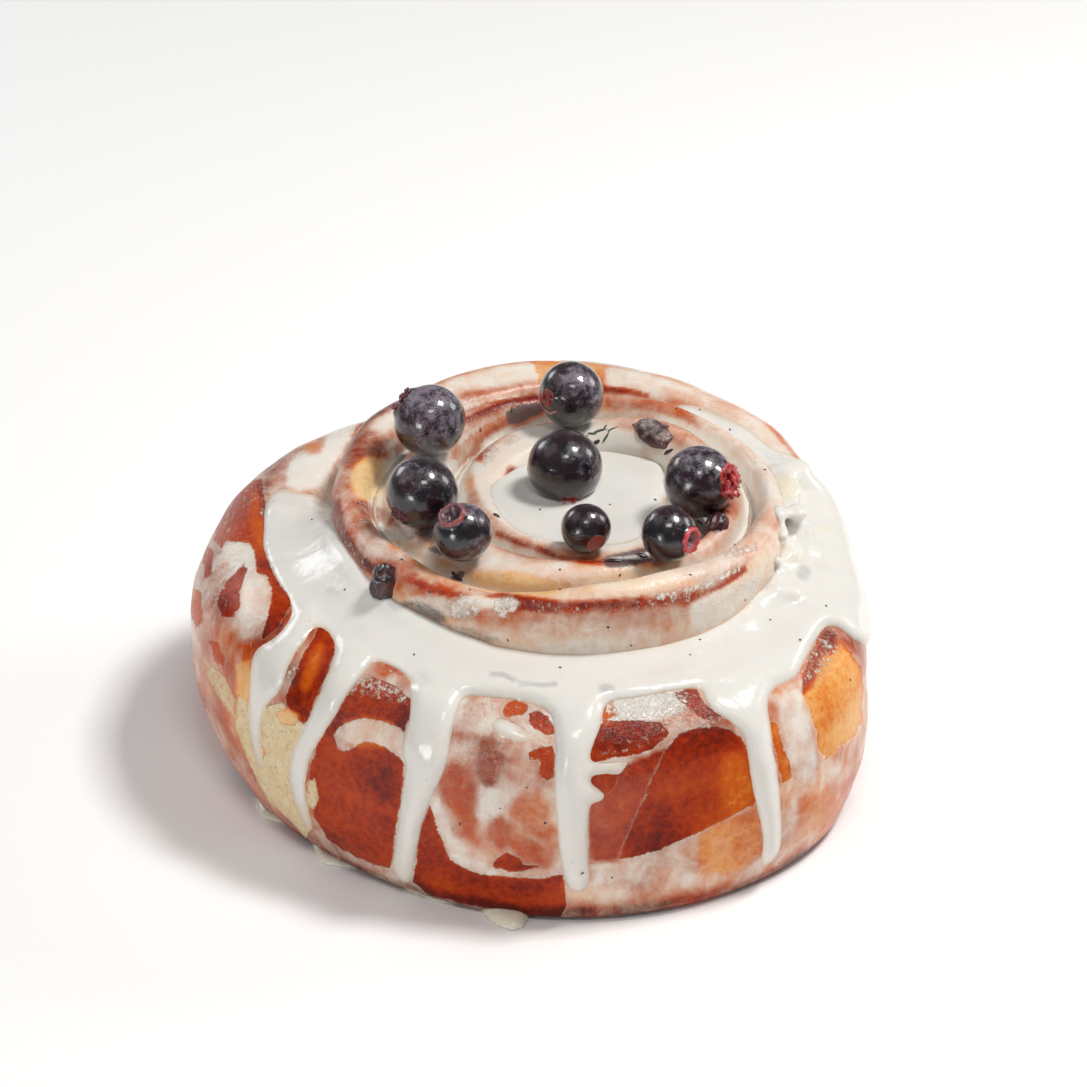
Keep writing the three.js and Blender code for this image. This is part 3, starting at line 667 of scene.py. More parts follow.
# softer changes: field, value, softness in pixels, outline
WALL_PAINT = [
    ("veil", 0.66, 10, ell(495, 805, 20, 28)), ("veil", 0.18, 12, ell(530, 822, 20, 42)), ("veil", 0.34, 8, ell(520, 772, 24, 22)),
    ("veil", 0.04, 10, [(440, 775), (452, 762), (470, 768), (478, 790), (476, 815), (478, 845), (468, 840), (458, 822), (447, 800), (436, 792)]),
    ("bake", 0.72, 10, ell(458, 800, 22, 40)), ("red", 0.35, 10, ell(458, 800, 22, 40)),
    ("veil", 0.70, 5, [(431, 806), (440, 800), (452, 830), (470, 855), (490, 868), (500, 876), (480, 874), (460, 868), (446, 847), (436, 826)]),
    ("veil", 0.60, 10, ell(430, 712, 30, 28)), ("veil", 0.66, 8, ell(470, 716, 28, 18)), ("veil", 0.12, 7, ell(490, 762, 14, 26)),
    ("bake", 0.84, 8, ell(489, 762, 18, 30)), ("red", 0.1, 8, ell(489, 762, 18, 30)),
    ("veil", 0.12, 6, ell(500, 832, 12, 15)), ("bake", 0.72, 6, ell(500, 832, 14, 17)), ("veil", 0.12, 8, ell(545, 845, 12, 26)),
    ("veil", -0.12, 5, [(588, 766), (625, 765), (668, 748), (656, 770), (645, 797), (630, 832), (618, 861), (590, 863), (587, 820)]),
    ("bake", 0.80, 5, [(588, 766), (660, 752), (668, 748), (656, 770), (645, 797), (630, 832), (618, 861), (590, 863), (587, 820)]),
    ("crumb", 0.18, 8, ell(838, 690, 20, 36)), ("bake", 0.30, 10, ell(842, 690, 18, 34)),
    ("veil", 0.54, 8, [(590, 866), (618, 862), (640, 858), (685, 845), (704, 862), (690, 885), (640, 893), (595, 886)]),
    ("veil", 0.10, 8, [(700, 833), (722, 822), (757, 806), (763, 850), (742, 870), (700, 876)]),
    ("bake", 0.42, 8, [(700, 833), (722, 822), (757, 806), (763, 850), (742, 870), (700, 876)]),
    ("veil", 0.40, 5, [(590, 893), (640, 897), (700, 888), (720, 895), (640, 920), (600, 920)]),
    ("veil", 0.82, 8, [(775, 695), (800, 690), (812, 720), (818, 760), (800, 775), (790, 760), (780, 725)]),
    ("veil", 0.62, 8, ell(825, 772, 26, 14)), ("veil", 0.20, 8, ell(815, 812, 28, 20)), ("veil", 0.5, 6, ell(790, 820, 8, 34)),
    ("bake", 0.5, 10, ell(812, 815, 34, 30)),
    # the second outline here whitens the film across the front of the crest: partly film, partly a painted highlight
    ("veil", 0.52, 6, ell(864, 760, 8, 60)), ("veil", 0.85, 6, [(612, 700), (660, 693), (690, 690), (688, 710), (660, 720), (605, 722)]),
    ("veil", 0.30, 6, ell(395, 668, 22, 9)), ("bake", 0.60, 6, ell(395, 666, 26, 12)),
    ("veil", 0.60, 6, [(333, 735), (345, 722), (365, 718), (385, 722), (402, 729), (406, 764), (338, 755)]),
    ("bake", 0.54, 14, ell(738, 790, 18, 38, -10)), ("red", 0.0, 14, ell(738, 790, 22, 42, -10)), ("bake", 0.90, 14, ell(648, 828, 22, 32, 25)),
    ("bake", 0.84, 8, ell(708, 735, 30, 10)), ("bake", 0.85, 6, ell(828, 640, 9, 14)), ("bake", 0.8, 6, ell(812, 668, 6, 28, 20)),
    ("red", 0.6, 8, ell(820, 655, 12, 30, 20)), ("bake", 0.8, 6, ell(328, 626, 9, 12)), ("bake", 0.5, 8, ell(312, 668, 6, 26, 20)),
    ("bake", 0.8, 10, ell(375, 700, 34, 20)), ("red", 0.5, 10, ell(375, 700, 34, 20)), ("bake", 0.84, 12, ell(345, 850, 40, 12, 15)),
    ("veil", 0.66, 10, [(215, 545), (240, 542), (256, 556), (258, 574), (270, 585), (270, 605), (262, 635), (250, 642), (240, 640), (232, 622), (240, 606), (246, 580)]),
    ("bake", 0.84, 6, [(256, 556), (262, 572), (272, 588), (271, 602), (266, 622), (262, 640), (280, 628), (298, 604), (292, 586), (280, 566)]),
    ("bake", 0.58, 6, stroke(14, (258, 492), (256, 520), (266, 545))), ("bake", 0.88, 4, stroke(7, (264, 482), (263, 507), (271, 534), (287, 550), (303, 584))),
    ("red", 0.8, 4, stroke(8, (264, 482), (263, 507), (271, 534), (287, 550), (303, 584))),
    ("veil", 0.38, 8, [(190, 560), (222, 510), (250, 470), (285, 432), (330, 415), (345, 440), (330, 480), (275, 494), (262, 478), (238, 505), (210, 560)]),
    ("bake", 0.72, 8, [(190, 560), (222, 510), (250, 470), (285, 432), (330, 415), (345, 440), (330, 480), (275, 494), (262, 478), (238, 505), (210, 560)]),
    ("veil", 0.88, 6, [(289, 462), (300, 455), (328, 452), (333, 470), (325, 486), (300, 492), (286, 486)]),
    ("veil", 0.90, 5, [(322, 452), (326, 436), (340, 424), (362, 416), (352, 436), (340, 456), (330, 470)]),
    ("bake", 0.42, 5, [(322, 452), (326, 436), (340, 424), (362, 416), (352, 436), (340, 456), (330, 470)]),
    ("veil", 0.20, 4, ell(313, 447, 9, 7)), ("bake", 0.46, 4, ell(313, 447, 10, 8)),
    ("veil", 0.20, 5, stroke(11, (262, 496), (268, 476), (282, 455), (300, 440))), ("bake", 0.84, 5, stroke(12, (262, 496), (268, 476), (282, 455), (300, 440))),
    ("veil", 0.80, 9, [(225, 548), (238, 541), (255, 545), (256, 560), (250, 570), (236, 572), (226, 562)]),
    ("veil", 0.80, 11, [(240, 572), (252, 566), (268, 580), (271, 600), (266, 622), (256, 636), (244, 634), (238, 615), (244, 595)]),
    ("crumb", 1.0, 7, [(238, 694), (247, 702), (257, 712), (268, 706), (282, 702), (292, 714), (304, 724), (312, 745), (305, 762), (303, 780),
                       (306, 800), (312, 826), (306, 838), (288, 818), (268, 800), (250, 765), (236, 728)]),
    ("crumb", 0.55, 5, [(200, 648), (212, 664), (226, 676), (236, 700), (236, 722), (222, 706), (207, 680)]), ("crumb", 0.6, 5, [(306, 780), (316, 776), (320, 800), (314, 812), (307, 806)]),
    ("veil", 0.18, 5, [(238, 664), (250, 660), (252, 690), (246, 712), (236, 694)]), ("bake", 0.26, 5, [(236, 664), (250, 660), (252, 690), (246, 712), (236, 694)]),
    ("veil", 0.25, 4, [(276, 712), (288, 708), (300, 716), (296, 726), (280, 724)]), ("bake", 0.16, 4, [(276, 712), (288, 708), (300, 716), (296, 726), (280, 724)]),
    ("crumb", 0.1, 4, [(276, 712), (288, 708), (300, 716), (296, 726), (280, 724)]), ("crumb", 0.2, 3, ell(262, 752, 4, 7)), ("bake", 0.3, 3, ell(262, 752, 4, 7)),
    ("veil", 0.66, 6, [(344, 722), (366, 716), (392, 722), (402, 736), (404, 756), (386, 748), (360, 748), (346, 742)]),
    ("bake", 0.44, 6, [(344, 722), (366, 716), (392, 722), (402, 736), (404, 756), (386, 748), (360, 748), (346, 742)]),
    ("veil", 0.10, 4, [(380, 656), (396, 656), (412, 664), (418, 676), (404, 674), (388, 670)]), ("bake", 0.60, 4, [(380, 656), (396, 656), (412, 664), (418, 676), (404, 674), (388, 670)]),
    # the raised far side of the outer turn
    ("veil", 0.86, 8, [(600, 352), (700, 368), (790, 420), (830, 480), (800, 470), (763, 452), (720, 420), (681, 402), (605, 391)]),
    ("bake", 0.50, 8, [(600, 352), (700, 368), (790, 420), (830, 480), (800, 470), (763, 452), (720, 420), (681, 402), (605, 391)]),
    ("veil", 0.45, 4, stroke(9, (583, 359), (640, 366), (705, 385), (765, 417), (805, 463))),
    ("bake", 0.52, 4, stroke(10, (583, 359), (640, 366), (705, 385), (765, 417), (805, 463))),
    # a painted shadow along the groove behind the far crest
    ("stain_and_painted_shade", 0.22, 4, stroke(5, (658, 402), (724, 431), (762, 466))),
    ("veil", 0.12, 8, [(400, 420), (400, 395), (440, 375), (500, 362), (560, 355), (605, 355), (605, 388), (540, 396), (500, 402), (467, 416)]),
    ("bake", 0.34, 8, [(400, 420), (400, 395), (440, 375), (500, 362), (560, 355), (605, 355), (605, 388), (540, 396), (500, 402), (467, 416)]),
    ("bake", 0.30, 8, ell(490, 385, 36, 7, -8)), ("bake", 0.80, 4, stroke(6, (425, 392), (445, 383), (480, 373), (520, 366))),
    ("veil", 0.15, 3, stroke(7, (468, 420), (500, 405), (540, 396))), ("bake", 0.85, 3, stroke(7, (468, 420), (500, 405), (540, 396))),
    ("red", 1.0, 3, stroke(8, (468, 420), (500, 405), (540, 396))),
    ("veil", 0.2, 3, stroke(6, (600, 389), (625, 391), (648, 396))), ("bake", 0.8, 3, stroke(6, (600, 389), (625, 391), (648, 396))),
]
CORE_PAINT = [
    ("veil", 0.97, 8, POOL), ("bake", 0.36, 8, POOL),
    ("veil", 0.30, 6, [(504, 476), (510, 466), (519, 470), (521, 486), (522, 500), (514, 500), (506, 490)]),
    ("bake", 0.84, 5, [(504, 476), (510, 466), (519, 470), (521, 486), (522, 500), (514, 500), (506, 490)]),
    ("veil", 0.62, 8, stroke(14, (522, 503), (538, 520), (560, 535))), ("bake", 0.52, 8, stroke(14, (522, 503), (538, 520), (560, 535))),
    ("veil", 0.72, 8, [(640, 450), (660, 462), (674, 480), (670, 500), (660, 490), (650, 472)]),
    ("bake", 0.46, 8, [(640, 450), (660, 462), (674, 480), (670, 500), (660, 490), (650, 472)]),
    ("veil", 0.55, 4, ell(468, 481, 6, 12)), ("bake", 0.42, 4, ell(468, 481, 6, 12)),
    ("bake", 0.86, 4, stroke(8, (400, 402), (372, 415), (350, 436), (336, 462), (331, 490), (335, 515), (346, 540), (362, 562))),
    ("veil", 0.22, 4, stroke(7, (400, 402), (372, 415), (350, 436), (336, 462), (331, 490), (335, 515), (346, 540), (362, 562))),
    ("veil", 0.80, 6, [(410, 556), (432, 556), (500, 578), (575, 588), (640, 584), (640, 562), (575, 566), (500, 556), (440, 540)]),
    ("bake", 0.32, 10, [(410, 560), (480, 578), (575, 590), (660, 584), (735, 560), (735, 540), (640, 566), (520, 562), (420, 540)]),
    ("veil", 0.93, 8, [(478, 452), (500, 438), (520, 440), (505, 470), (505, 500), (530, 530), (500, 520), (480, 490)]),
    ("veil", 0.25, 8, ell(362, 450, 26, 22)), ("bake", 0.76, 8, ell(362, 450, 28, 22)), ("red", 0.4, 8, ell(362, 450, 28, 22)),
    ("veil", 0.45, 8, ell(355, 500, 26, 34)), ("bake", 0.58, 8, ell(352, 505, 24, 36)),
    # a pale orange-yellow patch: partly its own colour, partly painted light against the shadow that the left berries
    # cast
    ("veil", 0.0, 7, ell(371, 479, 18, 20)), ("bake", 0.0, 7, ell(371, 479, 20, 23)), ("red", 0.0, 7, ell(371, 479, 20, 23)),
    ("crumb", 0.35, 7, ell(371, 479, 15, 18)), ("stain_and_painted_shade", 0.14, 8, ell(350, 450, 18, 16)),
    ("veil", 0.97, 9, ell(432, 480, 22, 40)), ("bake", 0.25, 9, ell(432, 480, 22, 40)),
    ("bake", 0.82, 5, ell(378, 514, 26, 8, 25)), ("red", 0.9, 5, ell(378, 514, 26, 8, 25)), ("veil", 0.3, 5, ell(378, 514, 26, 8, 25)),
    ("veil", 0.72, 6, ell(380, 545, 26, 12, 30)), ("bake", 0.30, 5, ell(402, 546, 16, 7, 10)), ("veil", 0.25, 5, ell(402, 546, 14, 6, 10)),
    ("veil", 0.62, 8, [(410, 552), (470, 568), (560, 580), (640, 576), (700, 564), (745, 545), (760, 520), (778, 530), (755, 565), (700, 590), (640, 598), (560, 604), (480, 594), (420, 578)]),
    ("bake", 0.30, 8, [(410, 552), (470, 568), (560, 580), (640, 576), (700, 564), (700, 588), (640, 596), (560, 602), (480, 592), (420, 576)]),
    ("veil", 0.10, 6, ell(512, 583, 46, 9, 6)), ("bake", 0.02, 6, ell(512, 583, 50, 10, 6)), ("red", 0.0, 6, ell(512, 583, 50, 10, 6)),
    ("veil", 0.72, 8, ell(640, 580, 50, 9, -4)), ("bake", 0.10, 8, ell(640, 580, 54, 11, -4)), ("red", 0.0, 8, ell(640, 580, 54, 11, -4)),
    ("veil", 0.10, 4, stroke(10, (334, 500), (342, 535), (362, 562), (384, 577))), ("bake", 0.84, 4, stroke(11, (334, 500), (342, 535), (362, 562), (384, 577))),
    ("red", 0.5, 4, stroke(12, (334, 500), (342, 535), (362, 562), (384, 577))),
    ("veil", 0.04, 3, stroke(5, (410, 580), (440, 592), (480, 599), (502, 595))), ("bake", 0.72, 3, stroke(6, (410, 580), (440, 592), (480, 599), (502, 595))),
    ("veil", 0.04, 4, stroke(14, (500, 599), (530, 604), (560, 608), (600, 608), (645, 604))), ("bake", 0.84, 5, stroke(14, (500, 599), (530, 604), (560, 608), (600, 608), (645, 604))),
    ("red", 0.35, 5, stroke(14, (500, 599), (530, 604), (560, 608), (600, 608), (645, 604))),
    ("veil", 0.06, 3, stroke(6, (640, 604), (690, 597), (720, 584), (748, 566))), ("bake", 0.70, 3, stroke(7, (640, 604), (690, 597), (720, 584), (748, 566))),
    ("bake", 0.62, 6, [(560, 612), (640, 608), (700, 598), (712, 602), (640, 622), (600, 624), (560, 622)]),
    ("veil", 0.40, 6, [(480, 606), (560, 614), (640, 609), (700, 598), (712, 602), (640, 620), (560, 624), (490, 618)]),
    # white patches along the ring's front edge are painted highlights in the film
    ("veil", 0.90, 6, ell(440, 606, 32, 9, 12)), ("veil", 0.90, 5, ell(505, 603, 16, 6)), ("veil", 0.92, 4, ell(478, 602, 18, 6, 5)),
    ("bake", 0.2, 4, ell(478, 602, 18, 6, 5)),
    ("stain_and_painted_shade", 0.62, 6, ell(424, 612, 26, 9, 20)), ("stain_and_painted_shade", 0.42, 6, ell(470, 634, 34, 7, 14)), ("stain_and_painted_shade", 0.25, 8, ell(600, 648, 60, 7)), ("stain_and_painted_shade", 0.22, 8, ell(700, 628, 30, 7, -20)),
    # a dark patch behind the heart berry: dark bits, and painted shade in the hollow
    ("stain_and_painted_shade", 0.80, 4, [(505, 412), (520, 404), (540, 402), (545, 412), (530, 418), (520, 424), (508, 424)]),
    ("veil", 0.15, 5, [(466, 458), (476, 440), (496, 425), (520, 410), (545, 404), (545, 414), (516, 430), (494, 445), (480, 462)]),
    ("bake", 0.78, 5, [(466, 458), (476, 440), (496, 425), (520, 410), (545, 404), (545, 414), (516, 430), (494, 445), (480, 462)]),
    ("veil", 0.85, 6, ell(500, 440, 20, 8, -25)),
    ("veil", 0.22, 3, stroke(5, (496, 533), (520, 543), (545, 551), (560, 558), (600, 562), (640, 561))),
    ("bake", 0.80, 3, stroke(5, (496, 533), (520, 543), (545, 551), (560, 558), (600, 562), (640, 561))),
    ("red", 0.4, 3, stroke(6, (496, 533), (520, 543), (545, 551), (560, 558), (600, 562), (640, 561))),
    # the darkening under the small right berry is painted shade
    ("stain_and_painted_shade", 0.75, 4, [(605, 556), (640, 548), (660, 550), (650, 562), (620, 569), (604, 567)]),
    # dark skins beneath the low left berry, and painted shade under it
    ("stain_and_painted_shade", 0.85, 3, ell(458, 576, 8, 4, -25)), ("stain_and_painted_shade", 0.7, 5, ell(455, 552, 28, 7, 8)),
    ("stain_and_painted_shade", 0.6, 5, ell(432, 532, 16, 12, 30)), ("stain_and_painted_shade", 0.6, 4, ell(715, 522, 9, 12)), ("stain_and_painted_shade", 0.25, 8, ell(730, 508, 14, 14)),
    ("veil", 0.15, 3, stroke(7, (395, 452), (430, 435), (468, 420), (500, 405), (540, 396))), ("red", 1.0, 3, stroke(8, (440, 430), (468, 420), (500, 405), (540, 396))),
    ("bake", 0.85, 3, stroke(7, (395, 452), (430, 435), (468, 420), (500, 405), (540, 396))),
    ("veil", 0.82, 8, [(690, 405), (740, 430), (775, 470), (785, 510), (770, 530), (750, 505), (735, 465), (700, 430)]),
    ("bake", 0.44, 8, [(690, 405), (740, 430), (775, 470), (785, 510), (770, 530), (750, 505), (735, 465), (700, 430)]),
    ("veil", 0.78, 8, [(700, 545), (740, 515), (765, 500), (778, 520), (764, 548), (735, 566), (700, 578), (670, 582), (680, 562)]),
    ("bake", 0.46, 8, [(700, 545), (740, 515), (765, 500), (778, 520), (764, 548), (735, 566), (700, 578), (670, 582), (680, 562)]),
    ("veil", 0.80, 6, [(700, 592), (735, 575), (765, 545), (785, 515), (792, 530), (780, 570), (750, 606), (715, 628), (690, 632), (690, 606)]),
    ("bake", 0.30, 6, [(700, 592), (735, 575), (765, 545), (785, 515), (792, 530), (780, 570), (750, 606), (715, 628), (690, 632), (690, 606)]),
    ("veil", 0.06, 3, stroke(5, (650, 606), (690, 600), (722, 586), (746, 568))), ("bake", 0.74, 3, stroke(6, (650, 606), (690, 600), (722, 586), (746, 568))),
    ("veil", 0.62, 6, stroke(9, (600, 416), (650, 420), (680, 434), (706, 452))), ("bake", 0.50, 6, stroke(9, (600, 416), (650, 420), (680, 434), (706, 452))),
]

# where the crust is blistered and its gloss breaks up
BLISTERS = [
    ("blister", 0.8, 6, [(214, 545), (218, 515), (238, 480), (268, 446), (300, 430), (310, 448), (280, 470), (268, 486), (268, 512), (280, 545), (300, 580), (286, 600), (262, 575), (240, 545)]),
    ("blister", 1.0, 6, [(340, 672), (372, 672), (410, 688), (412, 722), (396, 738), (360, 728), (322, 722), (318, 690)]),
    ("blister", 1.0, 5, [(598, 716), (665, 716), (676, 738), (640, 748), (598, 742)]),
    ("blister", 0.9, 5, [(664, 684), (706, 686), (726, 716), (712, 730), (684, 734), (668, 716)]),
    ("blister", 1.0, 5, [(500, 700), (530, 700), (558, 716), (558, 738), (526, 734), (500, 720)]),
    ("blister", 0.9, 5, [(524, 745), (558, 745), (558, 782), (536, 782)]),
    ("blister", 0.9, 6, [(386, 650), (424, 660), (424, 684), (386, 672)]),
    ("blister", 0.8, 5, [(238, 472), (270, 470), (275, 505), (240, 510)]),
    ("blister", 0.9, 5, [(286, 650), (304, 648), (300, 684), (284, 690)]),
    ("blister", 0.9, 5, [(806, 624), (838, 622), (842, 650), (818, 690), (800, 690)]),
    ("blister", 0.8, 5, stroke(26, (340, 520), (365, 572), (430, 600), (490, 612), (560, 616), (640, 610), (700, 600), (755, 568))),
    ("blister", 0.5, 8, ell(345, 500, 30, 60)),
]
# where the dried glaze breaks up into bright flecks, and painted highlights: white flecks laid where the glossy crests
# and rims catch the light
FLECKS_AND_PAINTED_HIGHLIGHTS = [
    (0.75, 2, stroke(3, (344, 424), (318, 436), (294, 452), (276, 470))), (0.7, 2, stroke(3, (300, 434), (276, 446), (256, 464), (240, 484), (229, 510), (222, 535))),
    (0.6, 2, stroke(3, (262, 466), (246, 484), (234, 508), (230, 530))), (0.6, 2, stroke(2.5, (238, 492), (250, 478), (262, 470))),
    (0.6, 2, stroke(3, (218, 545), (226, 575), (222, 600))), (0.6, 2, stroke(2.5, (236, 560), (228, 590), (224, 612))),
    (0.85, 4, [(446, 600), (462, 594), (480, 600), (482, 612), (468, 622), (450, 620)]), (0.85, 4, [(494, 600), (508, 595), (520, 602), (516, 616), (500, 620), (492, 612)]),
    (0.9, 3, stroke(8, (654, 597), (680, 592), (704, 586), (722, 578), (740, 566))), (0.8, 3, stroke(8, (722, 556), (740, 552), (758, 546))),
    (0.8, 2, stroke(3.5, (358, 519), (374, 525), (391, 533))), (0.8, 2, stroke(3.5, (356, 500), (370, 507), (386, 515))), (0.7, 2, stroke(3, (352, 430), (368, 434), (384, 431))),
    (0.75, 4, [(480, 452), (488, 442), (500, 444), (494, 462), (484, 470)]), (0.7, 3, ell(512, 440, 9, 6, -20)), (0.6, 4, ell(500, 575, 14, 3, 3)),
    (0.45, 5, stroke(14, (530, 606), (580, 612), (640, 606), (700, 594))), (0.5, 3, stroke(8, (336, 520), (350, 548), (366, 570))),
    (0.75, 4, [(604, 700), (630, 698), (664, 692), (690, 690), (688, 712), (660, 718), (620, 720), (604, 716)]), (0.25, 4, [(600, 720), (668, 718), (668, 744), (600, 752)]),
    (0.40, 4, [(670, 690), (704, 690), (724, 716), (708, 728), (684, 726), (668, 712)]), (0.30, 4, [(500, 702), (530, 700), (556, 718), (556, 736), (526, 732), (502, 718)]),
    (0.6, 4, [(344, 676), (372, 674), (408, 690), (408, 706), (384, 700), (350, 696)]), (0.6, 4, [(388, 652), (420, 660), (420, 680), (388, 672)]),
    (0.15, 4, [(530, 748), (556, 746), (556, 780), (540, 780)]), (0.6, 3, stroke(5, (625, 742), (648, 736), (668, 726))), (0.6, 3, stroke(4, (590, 756), (620, 752), (650, 744))),
    (0.8, 2, stroke(4, (265, 483), (261, 507), (269, 535), (285, 547), (305, 587))), (0.6, 3, stroke(5, (233, 523), (217, 547), (215, 605))),
    (0.65, 4, [(286, 652), (298, 648), (298, 676), (284, 686)]), (0.55, 4, [(806, 626), (836, 624), (842, 648), (822, 672), (802, 690)]), (0.5, 4, ell(300, 440, 22, 6, -28)),
    (0.45, 5, [(236, 480), (262, 470), (262, 500), (240, 512)]), (0.5, 3, stroke(4, (608, 394), (640, 397), (672, 405), (702, 420), (738, 443), (768, 474))),
    (0.5, 3, stroke(4, (472, 424), (505, 409), (540, 400))), (0.45, 4, [(470, 698), (500, 696), (492, 714), (470, 722), (460, 712)]),
]


def paint_points(p, n, field_conv, seed=0):
    """cover, veil, bake, red, crumb, stain_and_painted_shade for points p with normals n; the last holds real dark
    stains and painted shade.
    """
    m = len(p)
    q = to_px(p)
    to_eye = CAM_POS - p
    to_eye /= np.linalg.norm(to_eye, axis=1)[:, None]
    facing = (n * to_eye).sum(1)
    rel = p[:, :2] - np.array(AXIS)
    r = np.hypot(rel[:, 0], rel[:, 1])
    th = np.degrees(np.arctan2(rel[:, 1], rel[:, 0])) % 360
    r_in = turn_params(outermost(th))[0]
    outer = r > r_in - 0.3
    back_wall = outer & (th > 20) & (th < 160) & (n[:, 2] < 0.35)
    seen = (facing > -0.05) & ~back_wall
    a, b, c = (sample(NOISES[k], p) for k in range(3))
    conv = sample(field_conv, p)  # above 0 on ridges, below 0 in grooves
    out = {
        "cover": 0.35 + 1.3 * (0.6 * a + 0.5 * b),
        "veil": np.clip(0.58 + 0.22 * a - 0.35 * np.clip(conv, -1, 1) + 0.12 * c, 0.05, 0.95),
        "bake": np.clip(0.56 + 0.16 * b + 0.30 * np.clip(conv, -0.6, 1), 0, 1),
        "red": np.clip(0.30 + 0.3 * c, 0, 1),
        "crumb": np.zeros(m),
        "stain_and_painted_shade": np.zeros(m),
        "blister": np.clip(0.15 + 0.5 * c, 0, 0.5),
        "flecks_and_painted_highlights": np.zeros(m),
    }
    # the middle: all under a film that thins over its ridges
    core = ~outer
    out["cover"] = np.where(core, 1.0, out["cover"])
    out["bake"] = np.where(core, np.clip(0.38 + 0.10 * b + 0.22 * np.clip(conv, -0.4, 1), 0, 1), out["bake"])
    depth_in = 0.94 - 0.12 * smooth(r, 12, 33)
    out["veil"] = np.where(core, np.clip(depth_in + 0.10 * a + 0.10 * c - 0.24 * np.clip(conv, -0.5, 1.2), 0.04, 0.97), out["veil"])
    # its outer wall whitens down to the glaze that it stands in
    level = np.interp(np.where(th < 96, th + 360, th), [v[0] for v in LEVEL_AT], [v[1] for v in LEVEL_AT])
    wall = core & (r > 24) & (n[:, 2] < 0.5)
    up = smooth(p[:, 2] - level, 0.2, 5.0)
    out["veil"] = np.where(wall, np.clip(0.54 - 0.16 * up + 0.14 * a + 0.12 * c, 0, 0.97), out["veil"])
    out["bake"] = np.where(wall, np.clip(0.40 + 0.16 * up + 0.08 * b, 0, 1), out["bake"])
    # the outer wall takes on the look of the middle where it passes behind the strip's end
    near = np.where(outer & (th < TAIL), smooth(th + 5 * a, 78, 98), 0)
    out["cover"] = out["cover"] + near * (1.0 - out["cover"])
    out["veil"] = out["veil"] + near * (np.clip(0.50 + 0.14 * a + 0.12 * c, 0, 0.97) - out["veil"])
    out["bake"] = out["bake"] + near * (0.50 + 0.08 * b - out["bake"])
    # the underside is pale and dry
    under = smooth(-n[:, 2], 0.55, 0.85) * smooth(6 - p[:, 2], 0, 5)
    out["crumb"] = np.maximum(out["crumb"], 0.35 * under)
    out["cover"] = np.where(under > 0.3, -1.0, out["cover"])
    front = seen & outer
    cover = np.full(m, 1.5)
    bake, red = out["bake"], out["red"]
    for poly, bk, rd in WINDOWS:
        sd = inside(q, poly)
        cover = np.minimum(cover, -sd / PX_PER_MM)
        w = np.where(front, smooth(sd, -6, 3), 0)
        bake += w * (np.clip(bk + 0.10 * b + 0.12 * np.clip(conv, -0.5, 1), 0, 1) - bake)
        red += w * (rd - red)
    for poly in PATCHES:
        cover = np.maximum(cover, inside(q, poly) / PX_PER_MM)
    blend = np.where(front & ((th > 150) | (th < 70)), 1.0, 0.0)
    out["cover"] = out["cover"] * (1 - blend) + np.clip(cover, -1.5, 1.5) * blend
    out["cover"] = np.where(front & (blend == 0), 1.5, out["cover"])
    out["veil"] = np.where(blend > 0, np.clip(0.44 + 0.22 * a + 0.18 * c - 0.15 * np.clip(conv, -0.5, 1), 0.05, 0.95), out["veil"])
    for paints, mask in ((WALL_PAINT, front), (CORE_PAINT, seen & core)):
        for field, value, soft, poly in paints:
            sd = inside(q, poly)
            w = np.where(mask, smooth(sd, -soft * 0.6, soft * 0.6), 0)
            wob = {"veil": 0.12 * c + 0.10 * a, "bake": 0.07 * b}.get(field, 0.0)
            out[field] += w * (value + wob - out[field])
    for field, value, soft, poly in BLISTERS:
        w = np.where(seen, smooth(inside(q, poly), -soft, soft), 0)
        out["blister"] += w * (value - out["blister"])
    for value, soft, poly in FLECKS_AND_PAINTED_HIGHLIGHTS:
        w = np.where(seen, smooth(inside(q, poly), -soft, soft), 0)
        out["flecks_and_painted_highlights"] = np.maximum(out["flecks_and_painted_highlights"], w * value)
    for k in ("veil", "bake", "red", "crumb", "stain_and_painted_shade", "blister", "flecks_and_painted_highlights"):
        out[k] = np.clip(out[k], 0, 1)
    out["facing"] = seen
    out["conv"] = conv
    return out


